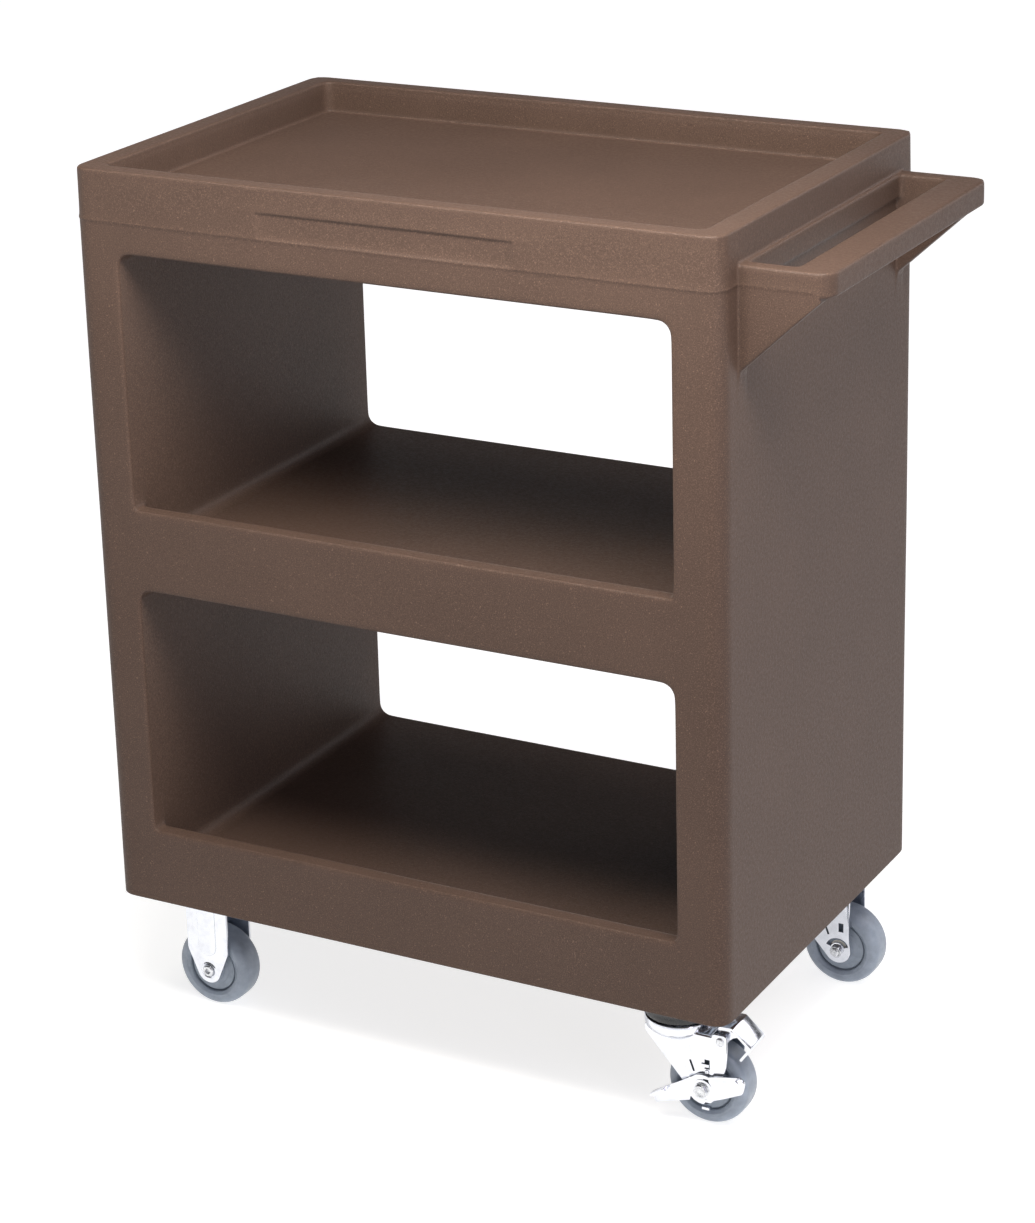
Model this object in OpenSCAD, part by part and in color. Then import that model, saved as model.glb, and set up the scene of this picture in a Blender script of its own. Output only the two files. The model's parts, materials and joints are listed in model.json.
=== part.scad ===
// Three-level service trolley: one hollow moulded body with a push handle,
// two fixed casters at the back end and two swivel casters at the handle end,
// the near one with a side brake. Millimetres, +Z up, floor at z = 0, handle towards +X.
// Origin: middle of the whole trolley's footprint, on the floor.

/* [Body] */
// Length of the moulded body without its handle
body_len = 620; // [560:1:760]
// Width of the body across the openings
body_wid = 406; // [360:1:540]
// Height of the top rim above the floor
total_h = 810; // [740:1:960]
// Height of the body's underside above the floor
base_z = 120; // [100:1:150]
// Radius of the upright corners seen from above
corner_r = 16; // [6:1:30]
// Radius of the top outside edge
top_r = 10; // [3:1:12]
// Radius of the bottom outside edge
foot_r = 7; // [3:1:12]
// Thickness of the moulded skin
skin = 4.5; // [3:0.5:6]

/* [Bays] */
// Clear length of each open bay
bay_len = 531; // [460:1:680]
// Clear height from sill to ceiling
bay_h = 235; // [180:1:300]
// Height of the bottom front panel
bottom_rail = 72; // [50:1:100]
// Height of the middle front panel
middle_rail = 75; // [50:1:100]
// How far each shelf floor lies below its front sill
shelf_drop = 38; // [15:1:45]
// Thickness of the front lip
lip_t = 16; // [8:1:24]
// Radius of the upper corners of the openings
bay_top_r = 13; // [4:1:24]
// Radius of the lower corners of the front openings
sill_r = 5; // [2:1:12]
// Radius where the shelf floors meet the side walls
floor_r = 12; // [3:1:20]
// Radius of the shelf floors' back edge
back_r = 16; // [4:1:18]

/* [Front panel] */
// Length of the blank recessed panel
panel_len = 245; // [120:1:400]
// Distance of the panel's left end from the body's middle
panel_left = 121; // [60:1:250]
// Height of the panel
panel_h = 24; // [12:1:30]
// Depth of the panel
panel_deep = 0.8; // [0.4:0.1:1.5]

/* [Top tray] */
// Depth of the tray below the rim
tray_depth = 29; // [12:1:40]
// Width of the rim along the long sides
rim_side = 20; // [12:1:30]
// Width of the rim at the ends
rim_end = 24; // [14:1:34]
// Radius of the tray's inside corners
tray_r = 8; // [3:1:20]

/* [Handle] */
// Reach of the handle beyond the body
handle_reach = 80; // [50:1:100]
// Width of the handle
handle_wid = 344; // [260:1:380]
// Thickness of the handle
handle_t = 21; // [16:1:30]
// Distance from the top rim down to the handle's top face
handle_down = 29; // [10:1:60]
// Width of the grip bar
grip_w = 34; // [24:1:44]
// Width of each arm
arm_w = 15; // [10:1:24]
// Height of the slanted web under each arm
web_h = 69; // [30:1:90]
// Radius of the handle's outer corners seen from above
handle_r = 15; // [6:1:30]
// Radius of the hand slot's corners
slot_r = 5; // [2:1:12]
// Ledge left between the body and the hand slot
slot_ledge = 3; // [1:1:10]

/* [Casters] */
// Wheel diameter
wheel_d = 76; // [65:1:102]
// Tread width
tread_w = 30; // [22:1:36]
// Radius of the tyre's shoulders
shoulder_r = 8; // [2:1:10]
// Distance of the caster centres from the body's middle
caster_x = 240; // [200:1:270]
// Distance of the wheel planes from the centre line
caster_y = 146; // [110:1:160]
// Swivel lead: distance of the axle behind the swivel axis
lead = 32; // [20:1:40]
// Metal thickness of forks
sheet = 2.5; // [2:0.5:4]
// Length of the mounting plate
plate_l = 92; // [80:1:110]
// Width of the mounting plate
plate_w = 60; // [50:1:80]
// Thickness of the mounting plate
plate_t = 2.5; // [2:0.5:4]
// Bolt spacing along the plate
bolt_px = 73; // [60:0.5:90]
// Bolt spacing across the plate
bolt_py = 44.5; // [35:0.5:60]

/* [Brake] */
// Distance of the shoe's hinge pin behind the axle
shoe_pin_x = 16; // [14:1:20]
// Height of the shoe's hinge pin above the axle
shoe_pin_z = 48; // [46:1:54]
// Thickness of the lever
lever_t = 2.5; // [2:0.5:4]

/* [Hidden] */
$fn = 64;
body_cx = -handle_reach / 2;
body_x0 = body_cx - body_len / 2;
body_x1 = body_cx + body_len / 2;
half_w = body_wid / 2;
low_sill = base_z + bottom_rail;
low_top = low_sill + bay_h;
mid_sill = low_top + middle_rail;
mid_top = mid_sill + bay_h;
tray_z = total_h - tray_depth;
handle_top = total_h - handle_down;
handle_bot = handle_top - handle_t;
parting_z = total_h - 45;
rigid_x = body_cx - caster_x;
swivel_x = body_cx + caster_x;
axle_z = wheel_d / 2;
hub_w = 33;
fork_in = 17.5;
fork_out = fork_in + sheet;
axle_r = 4;
sleeve_r = 6.3;
bearing_r = 8.5;
hub_r = 13;
step_r = 17;
disc_r = 23;
core_r = 24.4;
step_y = 13.2;
disc_y = 12;
groove_y = 9.5;
plate_z = base_z - plate_t;
leg_half = 22;
eye_r = 12.5;
rib_half = 9.5;
rib_z = 63;
rib_t = 1.4;
crown_bot = 86.5;
crown_top = crown_bot + 3.3;
crown_r = 31;
rim_h = 6;
bell_r = 21;
bell_h = 7.5;
ball_r = 2.2;
ball_ring_r = 20;
ball_count = 24;
run_gap = 0.3;
race_z = crown_top + run_gap + 2 * ball_r;
race_r = 24;
flange_r = 29;
flange_z = 104;
seal_r = 30;
seal_z = 97;
king_r = 5;
king_head_r = 9;
king_head_h = 2.2;
pin_r = 2.5;
bolt_r = 4;
bolt_head_h = 5.3;
washer_t = 1.6;
insert_r = 8;
insert_h = 20;
boss_r = 13;
vent_r = 5;
hex_r = 6.4;
round_head_r = 5.6;
slot_in = 7.2;
slot_out = 12;
reach = 40;

// ---------- shared shapes ----------

// Rectangle from [x0, y0] to [x1, y1] with rounded corners
module round_rect(x0, y0, x1, y1, r) {
  translate([x0 + r, y0]) square([x1 - x0 - 2 * r, y1 - y0]);
  translate([x0, y0 + r]) square([x1 - x0, y1 - y0 - 2 * r]);
  for (x = [x0 + r, x1 - r], y = [y0 + r, y1 - r]) translate([x, y]) circle(r);
}

// Upright opening outline: low corners r_low, high corners r_high
module bay_outline(x0, z0, x1, z1, r_low, r_high) {
  translate([x0, z0 + r_low]) square([x1 - x0, z1 - z0 - r_low - r_high]);
  translate([x0 + r_low, z0]) square([x1 - x0 - 2 * r_low, r_low]);
  translate([x0 + r_high, z1 - r_high]) square([x1 - x0 - 2 * r_high, r_high]);
  for (x = [x0 + r_low, x1 - r_low]) translate([x, z0 + r_low]) circle(r_low);
  for (x = [x0 + r_high, x1 - r_high]) translate([x, z1 - r_high]) circle(r_high);
}

// Extrude an X-Z outline along Y, from y0 to y1
module along_y(y0, y1) {
  translate([0, y1, 0]) rotate([90, 0, 0]) linear_extrude(y1 - y0) children();
}

// Cylinder along Y, from y0 to y1
module rod_y(x, z, r, y0, y1) {
  translate([x, y0, z]) rotate([-90, 0, 0]) cylinder(r = r, h = y1 - y0);
}

// Hexagonal prism along Y, r to its corners
module hex_y(x, z, r, y0, y1) {
  translate([x, y0, z]) rotate([-90, 0, 0]) cylinder(r = r, h = y1 - y0, $fn = 6);
}

// ---------- moulded body ----------

// Side profile of the outer wall, rounded at its top and bottom edge
module wall_profile(w, z0, z1) {
  translate([0, z0 + foot_r]) square([w, z1 - z0 - foot_r - top_r]);
  translate([0, z0]) square([w - foot_r, foot_r]);
  translate([0, z1 - top_r]) square([w - top_r, top_r]);
  intersection() {
    translate([w - foot_r, z0 + foot_r]) circle(foot_r);
    translate([w - foot_r, z0]) square([foot_r, foot_r]);
  }
  intersection() {
    translate([w - top_r, z1 - top_r]) circle(top_r);
    translate([w - top_r, z1 - top_r]) square([top_r, top_r]);
  }
}

// Outer block: centre cuboid, four side pieces and four corner pieces
module outer_block() {
  r = corner_r;
  lx = body_len - 2 * r;
  ly = body_wid - 2 * r;
  translate([body_x0 + r, -half_w + r, base_z]) cube([lx, ly, total_h - base_z]);
  for (s = [-1, 1]) {
    translate([body_cx + s * (lx / 2), 0, 0]) rotate([90, 0, s > 0 ? 0 : 180])
      translate([0, 0, -ly / 2]) linear_extrude(ly) wall_profile(r, base_z, total_h);
    translate([body_cx, s * (ly / 2), 0]) rotate([90, 0, s > 0 ? 90 : -90])
      translate([0, 0, -lx / 2]) linear_extrude(lx) wall_profile(r, base_z, total_h);
  }
  for (sx = [-1, 1], sy = [-1, 1])
    translate([body_cx + sx * lx / 2, sy * ly / 2, 0])
      rotate([0, 0, sx > 0 ? (sy > 0 ? 0 : -90) : (sy > 0 ? 90 : 180)])
        rotate_extrude(angle = 90) wall_profile(r, base_z, total_h);
}

// One bay: front opening above the sill, then the deeper hollow to the back
module bay(sill, ceiling) {
  x0 = body_cx - bay_len / 2;
  x1 = body_cx + bay_len / 2;
  along_y(-half_w - 1, -half_w + lip_t) bay_outline(x0, sill, x1, ceiling, sill_r, bay_top_r);
  along_y(-half_w + lip_t, half_w + 1)
    bay_outline(x0, sill - shelf_drop, x1, ceiling, floor_r, bay_top_r);
}

// Material taken off the back edge of a shelf floor to round it
module back_edge(floor_z) {
  difference() {
    translate([body_cx - bay_len / 2 + floor_r, half_w - back_r, floor_z - back_r])
      cube([bay_len - 2 * floor_r, back_r + 1, back_r]);
    translate([body_x0, half_w - back_r, floor_z - back_r]) rotate([0, 90, 0])
      cylinder(r = back_r, h = body_len);
  }
}

// Recessed tray in the top
module tray() {
  translate([0, 0, tray_z]) linear_extrude(tray_depth + 1)
    round_rect(body_x0 + rim_end, -half_w + rim_side, body_x1 - rim_end, half_w - rim_side, tray_r);
}

// The hollow inside the double wall, clear of the bays, tray and insert bosses
module inner_void() {
  s = skin;
  difference() {
    translate([0, 0, base_z + s]) linear_extrude(total_h - 7 - base_z - s)
      round_rect(body_x0 + s, -half_w + s, body_x1 - s, half_w - s, corner_r - s);
    for (z = [low_sill, mid_sill]) {
      translate([body_cx - bay_len / 2 - s, -half_w, z - s])
        cube([bay_len + 2 * s, lip_t + s, bay_h + 2 * s]);
      translate([body_cx - bay_len / 2 - s, -half_w + lip_t - s, z - shelf_drop - s])
        cube([bay_len + 2 * s, body_wid, bay_h + shelf_drop + 2 * s]);
    }
    translate([body_x0 + rim_end - s, -half_w + rim_side - s, tray_z - s])
      cube([body_len - 2 * rim_end + 2 * s, body_wid - 2 * rim_side + 2 * s, tray_depth]);
    for (p = bolt_points()) translate([p[0], p[1], base_z]) cylinder(r = boss_r, h = insert_h + s);
  }
}

// Every caster bolt position
function bolt_points() = [for (cx = [rigid_x, swivel_x], cy = [-caster_y, caster_y],
  dx = [-bolt_px / 2, bolt_px / 2], dy = [-bolt_py / 2, bolt_py / 2]) [cx + dx, cy + dy]];

module handle() {
  hx = body_x1 + handle_reach;
  hw = handle_wid / 2;
  r = handle_r;
  translate([0, 0, handle_bot]) linear_extrude(handle_t) difference() {
    union() {
      translate([body_x1 - 2, -hw]) square([handle_reach + 2 - r, handle_wid]);
      translate([hx - r, -hw + r]) square([r, handle_wid - 2 * r]);
      for (y = [-hw + r, hw - r]) translate([hx - r, y]) circle(r);
    }
    round_rect(body_x1 + slot_ledge, -hw + arm_w, hx - grip_w, hw - arm_w, slot_r);
  }
  for (y = [-hw, hw - arm_w]) along_y(y, y + arm_w)
    polygon([[body_x1 - 2, handle_bot], [body_x1 - 2, handle_bot - web_h],
             [body_x1, handle_bot - web_h], [hx - r, handle_bot]]);
}

module cart_body() {
  color("#5d4a3a") difference() {
    union() {
      outer_block();
      handle();
    }
    bay(low_sill, low_top);
    bay(mid_sill, mid_top);
    back_edge(low_sill - shelf_drop);
    back_edge(mid_sill - shelf_drop);
    tray();
    inner_void();
    translate([body_cx - panel_left, -half_w - 1, parting_z - 1])
      cube([panel_len, panel_deep + 1, panel_h]);
    for (p = bolt_points()) translate([p[0], p[1], base_z - 1])
      cylinder(r = insert_r, h = insert_h + 1);
    translate([body_cx, 0, base_z - 1]) cylinder(r = vent_r, h = skin + 2);
  }
}

module vent_plug() {
  color("#33302d") translate([body_cx, 0, 0]) {
    translate([0, 0, base_z - 1.6]) cylinder(r = vent_r + 3, h = 1.6);
    translate([0, 0, base_z]) cylinder(r = vent_r, h = skin + 1);
  }
}

// ---------- caster fastenings ----------

module caster_inserts() {
  color("#c9b26a") for (p = bolt_points()) translate([p[0], p[1], base_z]) difference() {
    cylinder(r = insert_r, h = insert_h);
    translate([0, 0, -1]) cylinder(r = bolt_r, h = insert_h - 1);
  }
}

module mount_bolts() {
  color("#b9bcc0") for (p = bolt_points()) translate([p[0], p[1], 0]) {
    translate([0, 0, plate_z - washer_t - bolt_head_h])
      cylinder(r = 7.2, h = bolt_head_h, $fn = 6);
    translate([0, 0, plate_z - washer_t]) cylinder(r = bolt_r - 0.05, h = insert_h - 1);
  }
}

module mount_washers() {
  color("#c8cacc") for (p = bolt_points()) translate([p[0], p[1], plate_z - washer_t])
    difference() {
      cylinder(r = 7.6, h = washer_t);
      translate([0, 0, -1]) cylinder(r = bolt_r + 0.2, h = washer_t + 2);
    }
}

// Mounting plate with four bolt holes, centred on the given point
module plate_blank(cx, cy) {
  difference() {
    translate([0, 0, plate_z]) linear_extrude(plate_t)
      round_rect(cx - plate_l / 2, cy - plate_w / 2, cx + plate_l / 2, cy + plate_w / 2, 6);
    for (dx = [-1, 1], dy = [-1, 1])
      translate([cx + dx * bolt_px / 2, cy + dy * bolt_py / 2, plate_z - 1])
        cylinder(r = bolt_r + 0.4, h = plate_t + 2);
  }
}

// ---------- wheels ----------

// Half-section of the tyre: a sloping lip beside the core, then round shoulders
module tyre_section() {
  w = tread_w / 2;
  r = wheel_d / 2;
  e = shoulder_r;
  polygon([[core_r, -w + 2.4], [core_r + 3.6, -w], [r - e, -w],
           [r - e, w], [core_r + 3.6, w], [core_r, w - 2.4]]);
  translate([r - e, -w + e]) square([e, tread_w - 2 * e]);
  intersection() {
    for (y = [-w + e, w - e]) translate([r - e, y]) circle(e);
    translate([r - e, -w]) square([e, tread_w]);
  }
}

module tyre(ax, ay) {
  color("#6d7884") translate([ax, ay, axle_z]) rotate([90, 0, 0])
    rotate_extrude() tyre_section();
}

// Wheel core: hub, stepped disc and, outside a narrow groove, the tyre's seat
module core(ax, ay) {
  h = hub_w / 2;
  color("#7b8691") translate([ax, ay, axle_z]) rotate([90, 0, 0]) rotate_extrude() polygon([
    [bearing_r, -h], [hub_r - 1, -h], [hub_r, -h + 1], [hub_r, -step_y], [step_r, -step_y],
    [step_r, -disc_y], [disc_r, -disc_y], [disc_r, -groove_y], [core_r, -groove_y],
    [core_r, groove_y], [disc_r, groove_y], [disc_r, disc_y], [step_r, disc_y],
    [step_r, step_y], [hub_r, step_y], [hub_r, h - 1], [hub_r - 1, h], [bearing_r, h]]);
}

module bearing(ax, ay) {
  color("#e8e6df") difference() {
    rod_y(ax, axle_z, bearing_r, ay - hub_w / 2, ay + hub_w / 2);
    rod_y(ax, axle_z, sleeve_r + 0.05, ay - hub_w / 2 - 1, ay + hub_w / 2 + 1);
  }
}

// Steel spacer between the fork legs that the wheel turns on
module sleeve(ax, ay) {
  color("#a9abad") difference() {
    rod_y(ax, axle_z, sleeve_r, ay - fork_in, ay + fork_in);
    rod_y(ax, axle_z, axle_r, ay - fork_in - 1, ay + fork_in + 1);
  }
}

// Shank of an axle bolt from y0, through both legs and the nut, to its inner end
module shank(ax, ay, s, y0) {
  y1 = ay - s * (fork_out + 7.5);
  rod_y(ax, axle_z, axle_r, min(y0, y1), max(y0, y1));
}

// Axle bolt of a swivel caster: hexagon head on the outer side (side s).
// gap is the room left for a lever between the outer leg and the head.
module hex_axle(ax, ay, s, gap) {
  y0 = ay + s * (fork_out + gap);
  y1 = y0 + s * 5;
  color("#c2c5c9") {
    hex_y(ax, axle_z, hex_r, min(y0, y1), max(y0, y1));
    shank(ax, ay, s, y0);
  }
}

// Axle bolt of a fixed caster: low round head with a hexagon socket
module round_axle(ax, ay, s) {
  y0 = ay + s * fork_out;
  y1 = y0 + s * 2.6;
  y2 = y1 - s * 2;
  color("#c2c5c9") {
    difference() {
      rod_y(ax, axle_z, round_head_r, min(y0, y1), max(y0, y1));
      hex_y(ax, axle_z, 2.9, min(y2, y1 + s), max(y2, y1 + s));
    }
    shank(ax, ay, s, y0);
  }
}

module nut(ax, ay, s) {
  a = ay - s * fork_out;
  b = ay - s * (fork_out + 5.5);
  color("#b4b7ba") difference() {
    hex_y(ax, axle_z, hex_r, min(a, b), max(a, b));
    rod_y(ax, axle_z, axle_r, min(a, b) - 1, max(a, b) + 1);
  }
}

// ---------- fixed casters ----------

// Leg outline: straight sides, then a taper that runs into a round eye
module fix_leg(cx) {
  top = plate_z - sheet;
  polygon([[cx - leg_half, top], [cx - leg_half, 58], [cx - 11.5, 33.2], [cx + 11.5, 33.2],
           [cx + leg_half, 58], [cx + leg_half, top]]);
  translate([cx, axle_z]) circle(eye_r);
}

module fix_fork(s) {
  cy = s * caster_y;
  color("#b9bdc2") difference() {
    union() {
      translate([rigid_x - leg_half, cy - fork_out, plate_z - sheet])
        cube([2 * leg_half, 2 * fork_out, sheet]);
      for (k = [-1, 1]) {
        a = cy + k * fork_in;
        b = cy + k * fork_out;
        along_y(min(a, b), max(a, b)) fix_leg(rigid_x);
        along_y(k > 0 ? b : b - rib_t, k > 0 ? b + rib_t : b) {
          translate([rigid_x - rib_half, rib_z]) square([2 * rib_half, plate_z - rib_z]);
          translate([rigid_x, rib_z]) circle(rib_half);
        }
      }
    }
    rod_y(rigid_x, axle_z, axle_r, cy - reach, cy + reach);
  }
}

module fix_plate(s) {
  color("#b2b6bb") plate_blank(rigid_x, s * caster_y);
}

// ---------- swivel casters ----------

module swv_plate(s) {
  cy = s * caster_y;
  color("#b2b6bb") difference() {
    union() {
      plate_blank(swivel_x, cy);
      translate([swivel_x, cy, race_z]) cylinder(r = race_r, h = plate_z - race_z);
      translate([swivel_x, cy, flange_z]) cylinder(r = flange_r, h = plate_z - flange_z);
    }
    translate([swivel_x, cy, race_z - 1]) cylinder(r = king_r, h = reach);
    translate([swivel_x, cy, base_z - king_head_h]) cylinder(r = king_head_r, h = reach);
  }
}

// Black dust seal pressed over the flange, hanging just above the crown's rim
module swv_seal(s) {
  color("#26282a") translate([swivel_x, s * caster_y, seal_z]) difference() {
    cylinder(r = seal_r, h = plate_z - seal_z);
    translate([0, 0, -1]) cylinder(r = flange_r, h = reach);
  }
}

module swv_balls(s) {
  color("#d5d7d9") translate([swivel_x, s * caster_y, race_z - ball_r])
    for (i = [0:ball_count - 1]) rotate([0, 0, 360 / ball_count * i])
      translate([ball_ring_r, 0, 0]) sphere(ball_r, $fn = 24);
}

module swv_kingpin(s) {
  color("#b4b7ba") translate([swivel_x, s * caster_y, 0]) {
    translate([0, 0, base_z - king_head_h]) cylinder(r = king_head_r, h = king_head_h);
    translate([0, 0, crown_bot - 10])
      cylinder(r = king_r, h = base_z - king_head_h - crown_bot + 10);
  }
}

module swv_kingnut(s) {
  h = 7.7;
  color("#a9abad") translate([swivel_x, s * caster_y, crown_bot - run_gap - h]) difference() {
    cylinder(r = 9.2, h = h, $fn = 6);
    translate([0, 0, -1]) cylinder(r = king_r, h = h + 2);
  }
}

// Leg outline: wide under the crown, slanting to a round eye at the axle.
// A braked caster's leg reaches further behind the axle to carry the shoe's pin.
module swv_leg(ax, braked) {
  polygon([[ax - 56, crown_bot], [ax - 55, 81], [ax - 10.2, 28.9], [ax + 9.5, 28.7],
           [ax + 11.5, 50], [ax + 11.5, crown_bot]]);
  translate([ax, axle_z]) circle(13);
  if (braked) polygon([[ax, 40], [ax + 13, 40], [ax + 21, 60], [ax + 22, 66],
                       [ax + 22, 92], [ax + 9, 92], [ax + 7, crown_bot], [ax, 80]]);
}

// Curved slot round the axle hole
module curved_slot(ax) {
  translate([ax, axle_z]) intersection() {
    difference() {
      circle(slot_out);
      circle(slot_in);
    }
    polygon([[0, 0], [14, 6], [14, 16], [-14, 16], [-14, 5]]);
  }
}

module swv_fork(s, braked) {
  cy = s * caster_y;
  ax = swivel_x + lead;
  color("#d2d6da") difference() {
    union() {
      translate([swivel_x, cy, crown_bot]) cylinder(r = crown_r, h = crown_top - crown_bot);
      translate([swivel_x, cy, crown_top]) difference() {
        cylinder(r = crown_r, h = rim_h);
        translate([0, 0, -1]) cylinder(r = crown_r - sheet, h = rim_h + 2);
      }
      translate([swivel_x, cy, crown_bot - bell_h]) difference() {
        cylinder(r1 = bell_r, r2 = crown_r, h = bell_h);
        cylinder(r1 = bell_r - sheet, r2 = crown_r - sheet, h = bell_h);
      }
      translate([swivel_x - 30, cy - fork_out, crown_bot])
        cube([lead + 36, 2 * fork_out, crown_top - crown_bot]);
      for (k = [-1, 1]) {
        a = cy + k * fork_in;
        b = cy + k * fork_out;
        along_y(min(a, b), max(a, b)) swv_leg(ax, braked);
      }
    }
    translate([swivel_x, cy, crown_bot - 1]) cylinder(r = king_r + 0.06, h = 20);
    rod_y(ax, axle_z, axle_r, cy - reach, cy + reach);
    if (braked) rod_y(ax + shoe_pin_x, axle_z + shoe_pin_z, pin_r, cy - reach, cy + reach);
    along_y(cy - reach, cy + reach) curved_slot(ax);
    translate([ax + 1, cy - reach, 57]) cube([5, 2 * reach, 9]);
    translate([ax - 10, cy - reach, 52]) rotate([0, -20, 0]) cube([2, 2 * reach, 11]);
  }
}

// Hinge pin of the brake shoe, with a small head at each end
module shoepin(s) {
  cy = s * caster_y;
  ax = swivel_x + lead + shoe_pin_x;
  z = axle_z + shoe_pin_z;
  color("#c2c5c9") {
    rod_y(ax, z, pin_r, cy - fork_out, cy + fork_out);
    rod_y(ax, z, 4, cy - fork_out - 1.5, cy - fork_out);
    rod_y(ax, z, 4, cy + fork_out, cy + fork_out + 1.5);
  }
}

// Double-ended brake lever on the outer side, turning on the axle bolt
module lever(s) {
  cy = s * caster_y;
  ax = swivel_x + lead;
  y0 = fork_out + 0.5;
  ya = cy + s * y0;
  yb = cy + s * (y0 + lever_t);
  yc = cy + s * (y0 + lever_t + 6);
  color("#dfe2e5") difference() {
    union() {
      along_y(min(ya, yb), max(ya, yb)) {
        translate([ax, axle_z]) circle(14);
        polygon([[ax - 9, 48], [ax - 48, 25], [ax - 45, 15], [ax - 6, 26]]);
        polygon([[ax + 6, 25], [ax + 38, 42], [ax + 40, 53], [ax + 34, 57], [ax + 4, 51]]);
      }
      along_y(min(yb, yc), max(yb, yc))
        polygon([[ax - 48, 25], [ax - 47.2, 22.2], [ax - 33, 31], [ax - 34.2, 33.2]]);
      along_y(min(yb, yc), max(yb, yc))
        polygon([[ax + 34, 57], [ax + 40, 53], [ax + 39.6, 50.6], [ax + 32.6, 55.2]]);
    }
    rod_y(ax, axle_z, axle_r + 0.06, cy - reach, cy + reach);
    along_y(min(ya, yb) - 1, max(ya, yb) + 1) translate([ax + 1, 44.6]) square([5, 4]);
  }
}

// Bent brake shoe over the trailing side of the tread
module shoe(s) {
  cy = s * caster_y;
  px = swivel_x + lead + shoe_pin_x;
  z = axle_z + shoe_pin_z;
  color("#c9cdd1") difference() {
    union() {
      rod_y(px, z, 5, cy - 16.5, cy + 16.5);
      along_y(cy - 15, cy + 15)
        polygon([[px - 4.5, z + 2], [px - 4, z + 10.5], [px - 2, z + 12], [px + 9, z + 12.5],
                 [px + 26, z - 2], [px + 26.5, z - 5], [px + 17.5, z - 17.5],
                 [px + 15, z - 16], [px + 23, z - 4.5], [px + 8, z + 9.5],
                 [px - 1.5, z + 9], [px - 1.5, z + 4.5]]);
    }
    rod_y(px, z, pin_r + 0.06, cy - reach, cy + reach);
  }
}

// ---------- parts ----------

cart_body();
caster_inserts();
mount_bolts();
mount_washers();
vent_plug();

fix_plate(-1);  // fix_n_plate
fix_fork(-1);  // fix_n_fork
round_axle(rigid_x, -caster_y, -1);  // fix_n_axle
nut(rigid_x, -caster_y, -1);  // fix_n_nut
sleeve(rigid_x, -caster_y);  // fix_n_sleeve
bearing(rigid_x, -caster_y);  // fix_n_bearing
core(rigid_x, -caster_y);  // fix_n_core
tyre(rigid_x, -caster_y);  // fix_n_tyre

fix_plate(1);  // fix_f_plate
fix_fork(1);  // fix_f_fork
round_axle(rigid_x, caster_y, 1);  // fix_f_axle
nut(rigid_x, caster_y, 1);  // fix_f_nut
sleeve(rigid_x, caster_y);  // fix_f_sleeve
bearing(rigid_x, caster_y);  // fix_f_bearing
core(rigid_x, caster_y);  // fix_f_core
tyre(rigid_x, caster_y);  // fix_f_tyre

swv_plate(-1);  // swv_n_plate
swv_seal(-1);  // swv_n_seal
swv_balls(-1);  // swv_n_balls
swv_kingpin(-1);  // swv_n_kingpin
swv_kingnut(-1);  // swv_n_kingnut
swv_fork(-1, true);  // swv_n_fork
hex_axle(swivel_x + lead, -caster_y, -1, lever_t + 1);  // swv_n_axle
nut(swivel_x + lead, -caster_y, -1);  // swv_n_nut
sleeve(swivel_x + lead, -caster_y);  // swv_n_sleeve
shoepin(-1);  // swv_n_shoepin
bearing(swivel_x + lead, -caster_y);  // swv_n_bearing
core(swivel_x + lead, -caster_y);  // swv_n_core
tyre(swivel_x + lead, -caster_y);  // swv_n_tyre
lever(-1);  // swv_n_lever
shoe(-1);  // swv_n_shoe

swv_plate(1);  // swv_f_plate
swv_seal(1);  // swv_f_seal
swv_balls(1);  // swv_f_balls
swv_kingpin(1);  // swv_f_kingpin
swv_kingnut(1);  // swv_f_kingnut
swv_fork(1, false);  // swv_f_fork
hex_axle(swivel_x + lead, caster_y, 1, 0);  // swv_f_axle
nut(swivel_x + lead, caster_y, 1);  // swv_f_nut
sleeve(swivel_x + lead, caster_y);  // swv_f_sleeve
bearing(swivel_x + lead, caster_y);  // swv_f_bearing
core(swivel_x + lead, caster_y);  // swv_f_core
tyre(swivel_x + lead, caster_y);  // swv_f_tyre
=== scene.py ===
import json
import math

import bmesh
import bpy
import numpy as np
from mathutils import Matrix, Vector, noise


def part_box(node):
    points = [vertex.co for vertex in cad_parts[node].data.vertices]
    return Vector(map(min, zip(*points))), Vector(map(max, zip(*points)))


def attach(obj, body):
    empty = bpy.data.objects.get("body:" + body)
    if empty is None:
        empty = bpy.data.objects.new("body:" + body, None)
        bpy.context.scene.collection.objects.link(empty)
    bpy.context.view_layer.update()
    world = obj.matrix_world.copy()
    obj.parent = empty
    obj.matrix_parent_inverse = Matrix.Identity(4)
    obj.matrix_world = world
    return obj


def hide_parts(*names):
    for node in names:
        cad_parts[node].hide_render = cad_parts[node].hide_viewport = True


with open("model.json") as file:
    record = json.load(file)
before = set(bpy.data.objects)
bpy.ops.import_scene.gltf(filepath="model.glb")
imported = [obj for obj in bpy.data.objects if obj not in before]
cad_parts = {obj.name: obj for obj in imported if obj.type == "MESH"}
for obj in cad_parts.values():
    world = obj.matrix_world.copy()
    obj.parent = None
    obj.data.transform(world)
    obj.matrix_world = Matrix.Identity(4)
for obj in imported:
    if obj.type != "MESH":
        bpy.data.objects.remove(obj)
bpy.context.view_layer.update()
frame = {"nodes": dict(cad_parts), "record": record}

# The looks of a moulded service trolley: a seamless hollow body with rounded edges, and
# four plated casters with blue-grey wheels. The trolley's shapes are worked out in
# millimetres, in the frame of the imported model, and turned into metres when a mesh is
# made. The studio at the end is in metres.
MM = 0.001
SAME_POINT = 1e-6  # metres
SHARP, SHARP_TURNED, NOTHING_SHARP = 40, 50, 180  # degrees between faces
Z_AXIS = Vector((0, 0, 1))


def node_mm(node):
    """Lowest and highest corner of a CAD node, in millimetres."""
    lo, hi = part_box(node)
    return lo / MM, hi / MM


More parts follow.
